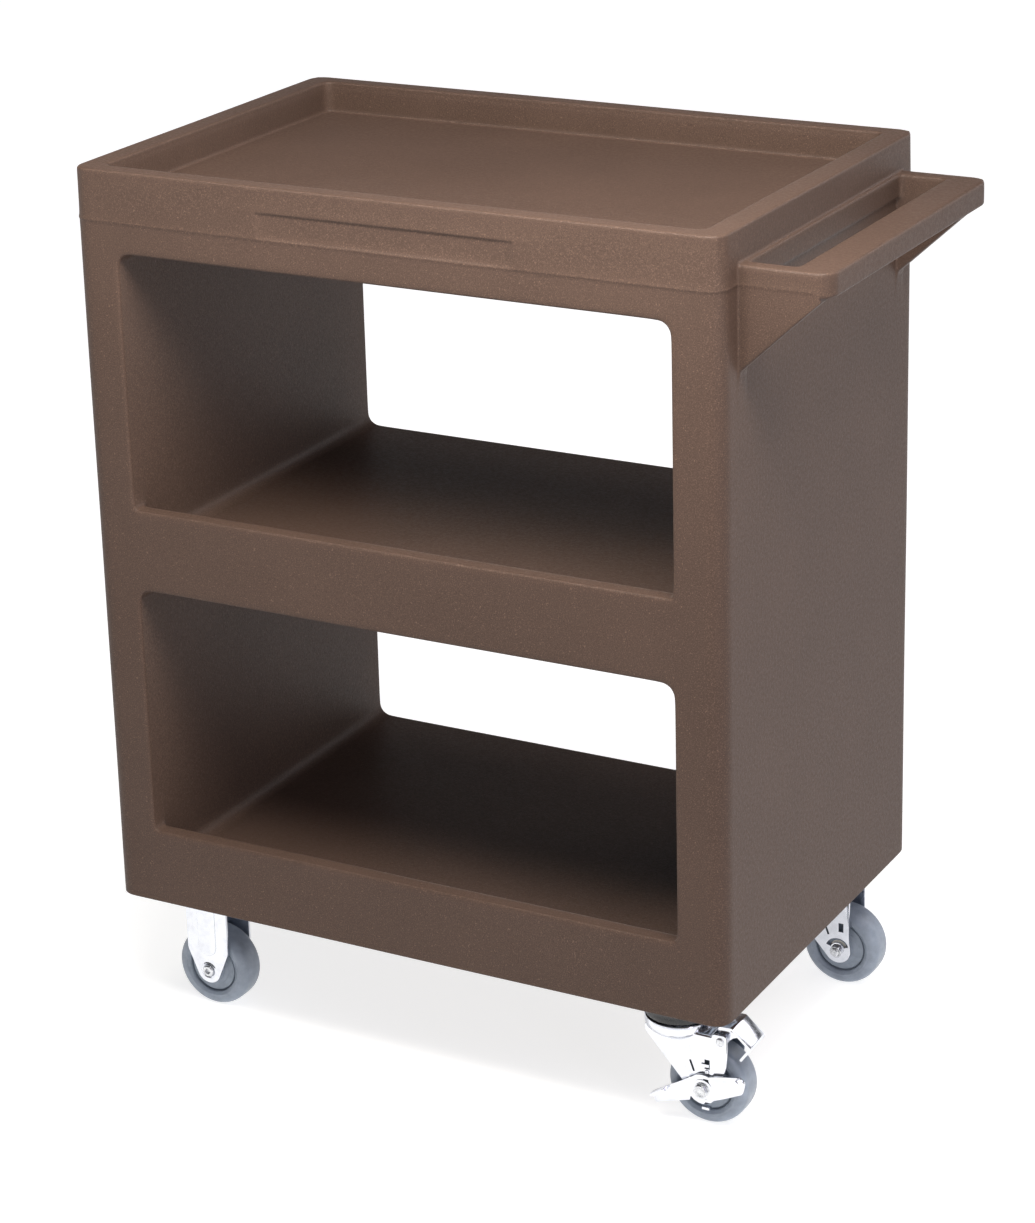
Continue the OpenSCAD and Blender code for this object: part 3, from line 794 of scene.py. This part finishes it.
def hex_head(x, y0, y1, s):
    """A hexagon round the axle whose outer corners are chamfered; y1 is the free face."""
    way = 1 if y1 > y0 else -1
    solid = Solid(placed(prism(hexagon(x, AXLE_Z, HEX_R), y0, y1), s))
    flat = HEX_R * 0.88
    bound = [(0, y0 - way), (HEX_R + 1, y0 - way), (HEX_R + 1, y1 - way * 1.6), (flat, y1),
             (flat - 1.2, y1), (flat - 1.8, y1 - way * 0.5), (0, y1 - way * 0.5)]
    solid.keep(turned(bound, x, AXLE_Z, s, 64))
    solid.soften(0.25, 1)
    return solid


def threads(r, y0, y1):
    """A (radius, height) profile of thread ridges from y0 to y1, with a chamfered end."""
    way = 1 if y1 > y0 else -1
    points = []
    turns = int(abs(y1 - y0) / THREAD_PITCH)
    for i in range(turns):
        y = y0 + way * THREAD_PITCH * i
        points += [(r - 0.45, y), (r, y + way * THREAD_PITCH / 2)]
    return points + [(r - 0.6, y1 - way * 0.4), (r - 1.2, y1), (0, y1)]


def make_axle(name, x, s, gap=None):
    """Axle bolt with its thread on the inner side. With a gap it has a hexagon head, standing
    that far off the leg. Without, it has a low round head with a hexagon socket."""
    if gap is None:
        y = LEG_OUT
        head = [(3.9, y), (5.6, y), (5.6, y + 1.5), (5.2, y + 2.2), (4.4, y + 2.6), (0, y + 2.6),
                (0, y)]
        solid = Solid(turned(head, x, AXLE_Z, s))
        solid.cut(placed(prism(hexagon(x, AXLE_Z, 2.9), y + 0.6, y + 4), s))
        solid.soften(0.2, 1)
    else:
        y = LEG_OUT + gap
        solid = hex_head(x, y, y + 5, s)
        flange = [(3.9, y), (7.0, y), (7.0, y + 0.5), (6.4, y + 1.0), (3.9, y + 1.0)]
        solid.join(turned(flange, x, AXLE_Z, s))
    shank = [(0, y + 0.4), (AXLE_R, y + 0.4), (AXLE_R, -LEG_OUT)]
    shank += threads(AXLE_R, -LEG_OUT, -LEG_OUT - THREAD_LENGTH)
    solid.join(turned(shank, x, AXLE_Z, s))
    solid.finish(name + "_axle_bolt", name + "_axle")


def make_nut(name, x, s):
    """Lock nut with a round collar."""
    face = -LEG_OUT
    bore = AXLE_R + 0.05
    solid = hex_head(x, face, face - 4.2, s)
    collar = [(bore, face - 3.5), (5.6, face - 3.5), (5.6, face - 4.8), (5.1, face - 5.4),
              (4.5, face - 5.5), (bore, face - 5.2)]
    solid.cut(rod(x, AXLE_Z, bore, face + 1, face - 9, s))
    solid.join(turned(collar, x, AXLE_Z, s))
    solid.finish(name + "_lock_nut", name + "_nut")


def mirrored_profile(half):
    """A closed wheel profile from its outer half, listed from the inside outwards."""
    return half + [(r, -h) for r, h in reversed(half)]


def make_wheel(name, x, s):
    """Rubber tyre with round shoulders, and a stepped plastic core with a hub."""
    tyre = [(24.4, 12.4), (24.7, 13.1), (25.6, 13.8), (27.0, 14.4), (27.7, 14.95), (28.3, 15.0),
            (28.9, 14.75), (29.6, 14.7), (30.6, 14.9)]
    tyre += arc(WHEEL_R - 8.2, 6.8, 8, 82, 6, 12)
    tyre += [(WHEEL_R - 0.12, 5.5), (WHEEL_R - 0.03, 3.0), (WHEEL_R, 1.0)]
    shape = turned(mirrored_profile(tyre), x, AXLE_Z, s, 128)
    piece(name + "_wheel_tyre", shape, name + "_tyre", SHARP_TURNED)
    core = [(8.5, 16.2), (8.8, 16.5), (11.6, 16.5), (12.5, 16.2), (13.0, 15.4), (13.2, 13.6),
            (13.6, 13.2), (16.2, 13.2), (16.8, 12.9), (17.2, 12.2), (17.8, 12.0), (21.8, 12.0),
            (22.6, 11.8), (23.0, 11.2), (23.1, 9.8), (23.4, 9.5), (24.4, 9.5)]
    shape = turned(mirrored_profile(core), x, AXLE_Z, s, 96)
    piece(name + "_wheel_core", shape, name + "_core", SHARP_TURNED)


def sheet_section(top, low, corner=3.0):
    """The Y-Z section of a sheet bent into an upside-down U."""
    inner = corner - SHEET + 0.6
    outer_right = arc(LEG_OUT - corner, top - corner, corner, 0, 90, 5)
    outer_left = [(-y, z) for y, z in reversed(outer_right)]
    inner_right = arc(LEG_IN - inner, top - SHEET - inner, inner, 0, 90, 4)
    inner_left = [(-y, z) for y, z in reversed(inner_right)]
    return ([(LEG_OUT, low)] + outer_right + outer_left + [(-LEG_OUT, low), (-LEG_IN, low)]
            + inner_left[::-1] + inner_right[::-1] + [(LEG_IN, low)])


def along_x(section, x0, x1):
    """A Y-Z section carried along X."""
    points, faces = prism(section, x0, x1)
    return [(y, x, z) for x, y, z in points], faces


def fixed_leg_outline():
    """Side view of a fixed caster's leg: a wide top that narrows to a round end."""
    return ([(RIGID_X - 22, 59.6), (RIGID_X - 22, PLATE_Z + 1), (RIGID_X + 22, PLATE_Z + 1),
             (RIGID_X + 22, 59.6), (RIGID_X + 21.3, 56.6)]
            + arc(RIGID_X, AXLE_Z, 12.5, -23, -157, 16) + [(RIGID_X - 21.3, 56.6)])


def make_fixed_fork(name, s):
    """Pressed bracket of a fixed caster: a bent sheet with a pressed rib on each leg."""
    solid = Solid(placed(along_x(sheet_section(PLATE_Z, 10), RIGID_X - 30, RIGID_X + 30), s))
    solid.keep(placed(prism(fixed_leg_outline(), -40, 40), s))
    rib = [(RIGID_X + 9.5, PLATE_Z - 4)] + arc(RIGID_X, 63, 9.5, 0, -180, 12)
    rib += [(RIGID_X - 9.5, PLATE_Z - 4)]
    for side in (-1, 1):
        pad = Solid(placed(prism(rib, side * (LEG_IN + 1), side * (LEG_OUT + 1.4)), s))
        pad.soften(1.1, 3)
        solid.add_solid(pad)
        eye = [(5.7, side * (LEG_IN + 0.5)), (8.4, side * (LEG_IN + 0.5)), (8.4, side * LEG_OUT),
               (7.9, side * (LEG_OUT + 0.7)), (7.3, side * (LEG_OUT + 0.9)),
               (6.6, side * (LEG_OUT + 0.6)), (5.7, side * (LEG_OUT + 0.1))]
        solid.add(turned(eye, RIGID_X, AXLE_Z, s, 48))
    solid.soften(0.4, 2, 50)
    solid.finish(name + "_bracket", name + "_fork")


def make_plate(name, cx, s, race):
    """Mounting plate with round corners and bolt holes; on a swivel caster, with its race."""
    solid = Solid(placed(slab(plate_outline(cx), PLATE_Z, FLOOR_Z), s))
    for x, y in bolt_places(cx):
        hole = [(x + px, y + py) for px, py in arc(0, 0, BOLT_HOLE_R, 0, 337.5, 15)]
        solid.cut(placed(slab(hole, PLATE_Z - 5, FLOOR_Z + 5), s))
    solid.soften(0.5, 2)
    if race:
        ring = [(5.05, 94.5), (18.5, 94.5), (19.5, 95.3), (20.5, 95.3), (21.5, 94.5), (23.4, 94.5),
                (24, 95.2), (24.2, 101), (25.2, 103.4), (27.5, 104.2), (28.6, 105), (29, 106.2),
                (29, PLATE_Z + 0.2), (5.05, PLATE_Z + 0.2)]
        solid.join(placed(lathe(ring, (cx, 0, 0), "Z", 72), s))
    solid.finish(name + "_top_plate", name + "_plate")


def make_painted_shade_seal(name, s):
    """Black seal ring round the ball race. Its near-black colour is painted shade and painted dark
    reflection for the shadowed race cavity.
    """
    low = 97.0
    ring = [(29.0, PLATE_Z - 0.1), (29.0, low + 1), (29.2, low + 0.3), (29.5, low),
            (29.8, low + 0.2), (30.0, low + 0.8), (30.0, 101), (29.7, 102), (29.7, 104),
            (30.0, 105), (30.0, 112), (29.6, 114), (29.6, PLATE_Z - 0.1)]
    shape = placed(lathe(ring, (SWIVEL_X, 0, 0), "Z", 96), s)
    piece(name + "_race_seal_painted_shade", shape, name + "_seal", SHARP_TURNED)


def swivel_leg_outline(braked):
    """Side view of a swivel caster's leg. With a brake it reaches up to hold the shoe's pin."""
    ax, top = AXLE_X, CROWN_Z + 1.5
    left = [(ax - 56, top), (ax - 55.6, 82.4), (ax - 54.2, 80.2)]
    eye = arc(ax, AXLE_Z, 13, -138, -4, 18)
    if not braked:
        return left + eye + [(ax + 12.7, 42), (ax + 11.8, 47), (ax + 11.5, 52), (ax + 11.5, top)]
    return (left + eye + [(ax + 14.4, 43.5), (ax + 20.6, 59), (ax + 21.7, 63), (ax + 22, 67),
                          (ax + 22, 89.5), (ax + 21.3, 91.3), (ax + 19.5, 92), (ax + 10.6, 92),
                          (ax + 8.8, 91.3), (ax + 7.6, top)])


def make_swivel_fork(name, s, braked):
    """Chromed fork: round crown with an upturned rim, a bell under it and two legs."""
    crown = [(5.1, 86.5), (24.6, 86.5), (22.6, 84.4), (20.3, 82.4), (18.2, 80.4), (18.8, 78.8),
             (20.2, 78.6), (22.5, 80.0), (25.5, 82.2), (28.3, 84.6), (30.3, 87.0), (31.0, 90.0),
             (31.0, 95.2), (30.5, 95.8), (29.0, 95.8), (28.5, 95.2), (28.5, 91.3), (27.2, 89.8),
             (5.1, 89.8)]
    solid = Solid(placed(lathe(crown, (SWIVEL_X, 0, 0), "Z", 96), s))
    legs = Solid(placed(prism(swivel_leg_outline(braked), LEG_IN, LEG_OUT), s))
    legs.add(placed(prism(swivel_leg_outline(braked), -LEG_OUT, -LEG_IN), s))
    web = sheet_section(CROWN_Z + 3.3, CROWN_Z - 3.5, 3.6)
    legs.add(placed(along_x(web, SWIVEL_X + 8, AXLE_X + 5.5), s))
    ax = AXLE_X
    window = [(ax + 1, 57), (ax + 6, 57), (ax + 6, 66), (ax + 1, 66)]
    slit = [(ax - 10, 52), (ax - 8.1, 52.7), (ax - 11.9, 63), (ax - 13.8, 62.3)]
    curve = arc(ax, AXLE_Z, 12, 23, 160, 14) + arc(ax, AXLE_Z, 7.2, 160, 23, 10)
    for hole in (window, slit, curve):
        legs.cut(placed(prism(hole, -40, 40), s))
    legs.soften(0.45, 2, 35)
    solid.add_solid(legs)
    if braked:
        tab = [(ax - 2, 58.8), (ax + 5.6, 58.8), (ax + 5.6, 62.2), (ax - 2, 62.2)]
        curl = Solid(placed(prism(tab, LEG_OUT - 0.6, LEG_OUT + 1.3), s))
        curl.soften(0.7, 2)
        stud = [(0, LEG_OUT - 1), (2.1, LEG_OUT - 1), (2.1, LEG_OUT + 0.5),
                (1.7, LEG_OUT + 1.0), (1.0, LEG_OUT + 1.0), (0.7, LEG_OUT + 0.5),
                (0, LEG_OUT + 0.5)]
        solid.join_solid(curl)
        solid.join(turned(stud, ax + 3.4, 54.4, s, 24))
    solid.finish(name + "_swivel_fork", name + "_fork")


def make_lever(name, s):
    """Two-armed brake lever round the axle, with curled ends for the foot."""
    ax, y0, y1 = AXLE_X, LEG_OUT + 0.5, LEG_OUT + 3.0
    outline = [(ax - 9.5, 48.2), (ax - 46.8, 25.6), (ax - 48, 24.0), (ax - 45.6, 16.2),
               (ax - 44.2, 15.2), (ax - 12, 25.2)]
    outline += arc(ax, AXLE_Z, 14, 218, 322, 12)
    outline += [(ax + 20, 33.2), (ax + 37.4, 41.4), (ax + 38.4, 42.6), (ax + 40.0, 51.6),
                (ax + 39.4, 53.2), (ax + 34.8, 56.6), (ax + 33.2, 56.8), (ax + 13, 53.0)]
    outline += arc(ax, AXLE_Z, 14, 66, 128, 8)
    solid = Solid(placed(prism(outline, y0, y1), s))
    solid.cut(placed(prism([(ax + 1, 44.6), (ax + 6, 44.6), (ax + 6, 48.6), (ax + 1, 48.6)],
                           y0 - 5, y1 + 5), s))
    for tip in ([(ax - 48, 25), (ax - 47.2, 22.2), (ax - 33, 31), (ax - 34.2, 33.2)],
                [(ax + 34, 57), (ax + 40, 53), (ax + 39.6, 50.6), (ax + 32.6, 55.2)]):
        solid.add(placed(prism(tip, y1 - 1.2, y1 + 6), s))
    solid.soften(0.6, 3, 35)
    solid.cut(rod(ax, AXLE_Z, 4.3, y0 - 2, y1 + 4, s))
    boss = [(4.3, y1 - 0.5), (9.6, y1 - 0.5), (9.6, y1 + 0.2), (9.2, y1 + 0.45), (4.3, y1 + 0.45)]
    solid.join(turned(boss, ax, AXLE_Z, s, 48))
    stop = Solid(placed(prism([(ax + 1.0, 20.6), (ax + 8.0, 20.6), (ax + 8.0, 23.4),
                               (ax + 1.0, 23.4)], y0, y1 + 3.5), s))
    stop.soften(0.7, 2)
    solid.join_solid(stop)
    solid.finish(name + "_brake_lever", name + "_lever")


def thick_path(path, thickness):
    """Outline of an open path in X-Z with a thickness to its right."""
    left, right = [], []
    for i, (x, z) in enumerate(path):
        before = path[max(0, i - 1)]
        after = path[min(len(path) - 1, i + 1)]
        dx, dz = after[0] - before[0], after[1] - before[1]
        size = math.hypot(dx, dz)
        left.append((x, z))
        right.append((x + dz / size * thickness, z - dx / size * thickness))
    return left + right[::-1]


def make_shoe(name, s):
    """Bent brake shoe: a rolled hinge eye, a roof, a bend and the blade over the tread."""
    px, pz = PIN_X, PIN_Z
    path = arc(px, pz, 5.0, 215, 128, 6) + [(px - 4.0, pz + 9.0)]
    path += arc(px - 1.5, pz + 9.4, 2.5, 165, 88, 4) + [(px + 4, pz + 12.3)]
    path += arc(px + 7.4, pz + 8.6, 3.9, 82, 44, 4) + arc(px + 23.3, pz - 4.2, 3.1, 42, -32, 6)
    path += [(px + 22.2, pz - 11), (px + 17.6, pz - 17.4)]
    solid = Solid(placed(prism(thick_path(path, 2.3), -15, 15), s))
    cheek = [(px - 4.2, pz + 1), (px - 3.6, pz + 9), (px - 1, pz + 10.8), (px + 7, pz + 10.4),
             (px + 14, pz + 5.2), (px + 10.0, pz + 3.6), (px + 6.4, pz + 0.4), (px + 4.4, pz - 3.2),
             (px + 1, pz - 5), (px - 2.6, pz - 4.2)]
    for y0, y1 in ((13, 15), (-15, -13)):
        solid.add(placed(prism(cheek, y0, y1), s))
    solid.soften(0.5, 2, 35)
    solid.cut(rod(px, pz, 2.6, -18, 18, s))
    eye = [(2.6, -16.4), (4.6, -16.5), (5.1, -16.1), (5.1, 16.1), (4.6, 16.5), (2.6, 16.4)]
    solid.join(turned(eye, px, pz, s, 32))
    solid.finish(name + "_brake_shoe", name + "_shoe")


def make_pin(name, s):
    """Rivet that the brake shoe turns on."""
    half = LEG_OUT
    pin = [(0, -half - 1.5), (2.6, -half - 1.4), (3.7, -half - 0.9), (4.0, -half - 0.1),
           (2.5, -half), (2.5, half), (4.0, half + 0.1), (3.7, half + 0.9), (2.6, half + 1.4),
           (0, half + 1.5)]
    shape = turned(pin, PIN_X, PIN_Z, s, 32)
    piece(name + "_shoe_rivet", shape, name + "_shoepin", SHARP_TURNED)


def make_bolts():
    """The sixteen hexagon bolts under the plates, with chamfered heads."""
    low, high = node_mm("mount_bolts")[0].z, PLATE_Z - 1.6
    every = [(x, s * CASTER_Y + y)
             for cx in (RIGID_X, SWIVEL_X) for _, s in SIDES for x, y in bolt_places(cx)]
    hexes = joined(*[slab(hexagon(x, y, 7.2), low, high) for x, y in every])
    bound = [(0, low + 0.5), (4.6, low + 0.5), (5.2, low), (6.3, low), (7.4, low + 1.2),
             (7.4, high + 1), (0, high + 1)]
    solid = Solid(hexes)
    solid.keep(joined(*[lathe(bound, (x, y, 0), "Z", 36) for x, y in every]))
    shank = [(0, high - 0.5), (3.9, high - 0.5), (3.9, high + 18.5), (0, high + 18.5)]
    solid.join(*[lathe(shank, (x, y, 0), "Z", 24) for x, y in every])
    solid.finish("plate_bolts", "mount_bolts")


def make_plug():
    """Domed plug in the moulding's vent hole, with a slot for a coin."""
    low = node_mm("vent_plug")[0].z
    cap = [(0, low + 0.35), (4.6, low + 0.1), (6.4, low), (7.4, low + 0.3), (8.0, low + 1.0),
           (8.0, FLOOR_Z), (5.0, FLOOR_Z), (4.8, FLOOR_Z + 5.0), (0, FLOOR_Z + 5.5)]
    solid = Solid(lathe(cap, (CX, 0, 0), "Z", 64))
    slot = [(CX - 4.5, -0.7), (CX + 4.5, -0.7), (CX + 4.5, 0.7), (CX - 4.5, 0.7)]
    solid.cut(slab(slot, low - 1, low + 0.9))
    solid.soften(0.2, 1)
    solid.finish("vent_cap", "vent_plug")


def make_casters():
    """Two fixed casters and two swivel casters; only the near swivel one has a brake."""
    for side, s in SIDES:
        fixed, swivel = "fix_" + side, "swv_" + side
        braked = side == "n"
        make_plate(fixed, RIGID_X, s, race=False)
        make_fixed_fork(fixed, s)
        make_axle(fixed, RIGID_X, s)
        make_nut(fixed, RIGID_X, s)
        make_wheel(fixed, RIGID_X, s)
        make_plate(swivel, SWIVEL_X, s, race=True)
        make_painted_shade_seal(swivel, s)
        make_swivel_fork(swivel, s, braked)
        make_axle(swivel, AXLE_X, s, gap=3.5 if braked else 0.0)
        make_nut(swivel, AXLE_X, s)
        make_wheel(swivel, AXLE_X, s)
    make_lever("swv_n", -1)
    make_shoe("swv_n", -1)
    make_pin("swv_n", -1)
    make_bolts()
    make_plug()


# ---------- studio ----------

CAMERA_PLACE = Vector((1.3524, -2.5012, 1.4761))
AZIMUTH, ELEVATION, ROLL = math.radians(28.9), math.radians(18.9), math.radians(-1.5)
FLOOR_HALF = 40.0
WALL_R, WALL_LOW, WALL_TOP, WALL_STEPS = FLOOR_HALF - 1, -0.5, 5.5, 64
FLOOR_GLOW, WALL_GLOW, WORLD_GLOW = 0.77, 1.0, 0.10
WARM = (1.0, 0.96, 0.88)
FRONT = (0.1, -0.2, 0.75)


def make_camera():
    """Camera at the photograph's place, with a small shift for its framing."""
    back = Vector((
        math.sin(AZIMUTH) * math.cos(ELEVATION),
        -math.cos(AZIMUTH) * math.cos(ELEVATION),
        math.sin(ELEVATION),
    ))
    right = (-back).cross(Z_AXIS).normalized()
    up = right.cross(-back)
    turned_right = right * math.cos(ROLL) + up * math.sin(ROLL)
    turned_up = up * math.cos(ROLL) - right * math.sin(ROLL)
    matrix = Matrix((turned_right, turned_up, back)).transposed().to_4x4()
    matrix.translation = CAMERA_PLACE
    data = bpy.data.cameras.new("camera")
    data.sensor_width = 36
    data.lens = 98.9
    data.shift_y = -0.1
    data.clip_start = 0.05
    data.clip_end = 200
    camera = bpy.data.objects.new("camera", data)
    camera.matrix_world = matrix
    bpy.context.scene.collection.objects.link(camera)
    bpy.context.scene.camera = camera


def place_light(data, place, target, power, color):
    """Puts a light at place, in metres, and turns it towards target."""
    data.energy = power
    data.color = color
    light = bpy.data.objects.new(data.name, data)
    bpy.context.scene.collection.objects.link(light)
    turn = (Vector(target) - Vector(place)).to_track_quat("-Z", "Y")
    light.matrix_world = Matrix.Translation(place) @ turn.to_matrix().to_4x4()


def area_light(name, place, target, size, power, color):
    """A rectangular softbox; size is its width and height in metres."""
    data = bpy.data.lights.new(name, "AREA")
    data.shape = "RECTANGLE"
    data.size, data.size_y = size
    place_light(data, place, target, power, color)


def sun_light(name, side, spread, power, color):
    """Light that comes from far away on the given side; spread is its width in degrees."""
    data = bpy.data.lights.new(name, "SUN")
    data.angle = math.radians(spread)
    place_light(data, (0, 0, 0), -Vector(side), power, color)


def glowing_white(name, glow):
    """Matt pale paint that also gives off light."""
    s = Shader(name, (0.5, 0.5, 0.5), 0.7, specular=0.05)
    s.main.inputs["Emission Color"].default_value = (1.0, 1.0, 1.0, 1.0)
    s.main.inputs["Emission Strength"].default_value = glow
    return s


def make_floor():
    """A floor that glows like a light table."""
    half = FLOOR_HALF
    corners = [(-half, -half, 0), (half, -half, 0), (half, half, 0), (-half, half, 0)]
    floor = mesh_object("floor", corners, [(0, 1, 2, 3)], 1.0)
    s = glowing_white("floor_white", FLOOR_GLOW)
    s.bump(s.noise(3.0), 0.05, 0.1)
    floor.data.materials.append(s.material)
    return floor


def make_wall():
    """A round wall near the floor's edge, which keeps the background white in low views."""
    n = WALL_STEPS
    ring = arc(0, 0, WALL_R, 0, 360 - 360 / n, n - 1)
    points = [(x, y, z) for z in (WALL_LOW, WALL_TOP) for x, y in ring]
    faces = [(i, (i + 1) % n, n + (i + 1) % n, n + i) for i in range(n)]
    wall = mesh_object("wall", points, faces, 1.0)
    wall.data.materials.append(glowing_white("wall_white", WALL_GLOW).material)
    return wall


def make_world():
    """Faint bluish light from all round."""
    world = bpy.data.worlds.new("studio")
    bpy.context.scene.world = world
    world.use_nodes = True
    background = world.node_tree.nodes["Background"]
    background.inputs["Color"].default_value = (0.92, 0.92, 1.0, 1.0)
    background.inputs["Strength"].default_value = WORLD_GLOW


def make_lights():
    """A wide soft sun overhead, softboxes in front, at the handle's corner and behind, and a
    strip above the tray."""
    sun_light("overhead", (0.4, -0.15, 1.0), 50, 1.3, (1.0, 0.98, 1.0))
    area_light("front_right", (0.30, -0.55, 1.35), FRONT, (0.9, 0.2), 21.0, WARM)
    area_light("front_left", (-0.40, -0.60, 1.35), FRONT, (0.6, 0.2), 5.0, WARM)
    area_light("corner_strip", (1.7, -1.0, 0.95), (0.27, -0.2, 0.5), (0.25, 1.3), 5.5,
               (1.0, 0.90, 1.0))
    area_light("rim_strip", (0.25, 0.15, 1.75), (0.05, 0, 0.78), (1.0, 0.2), 1.5,
               (1.0, 0.97, 0.98))
    area_light("behind", (1.6, 1.9, 1.5), (0, 0.2, 0.4), (1.4, 1.2), 14,
               (1.0, 0.97, 1.0))


def make_studio():
    bpy.context.scene.view_settings.view_transform = "Standard"
    make_floor()
    make_wall()
    make_world()
    make_lights()


def paint_cad_nodes():
    """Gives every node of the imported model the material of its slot."""
    for name, node in frame["nodes"].items():
        node.data.materials.clear()
        node.data.materials.append(MATERIALS[SLOT_OF[name]])


# ---------- everything together ----------

make_camera()
make_studio()
paint_cad_nodes()
make_body()
make_casters()
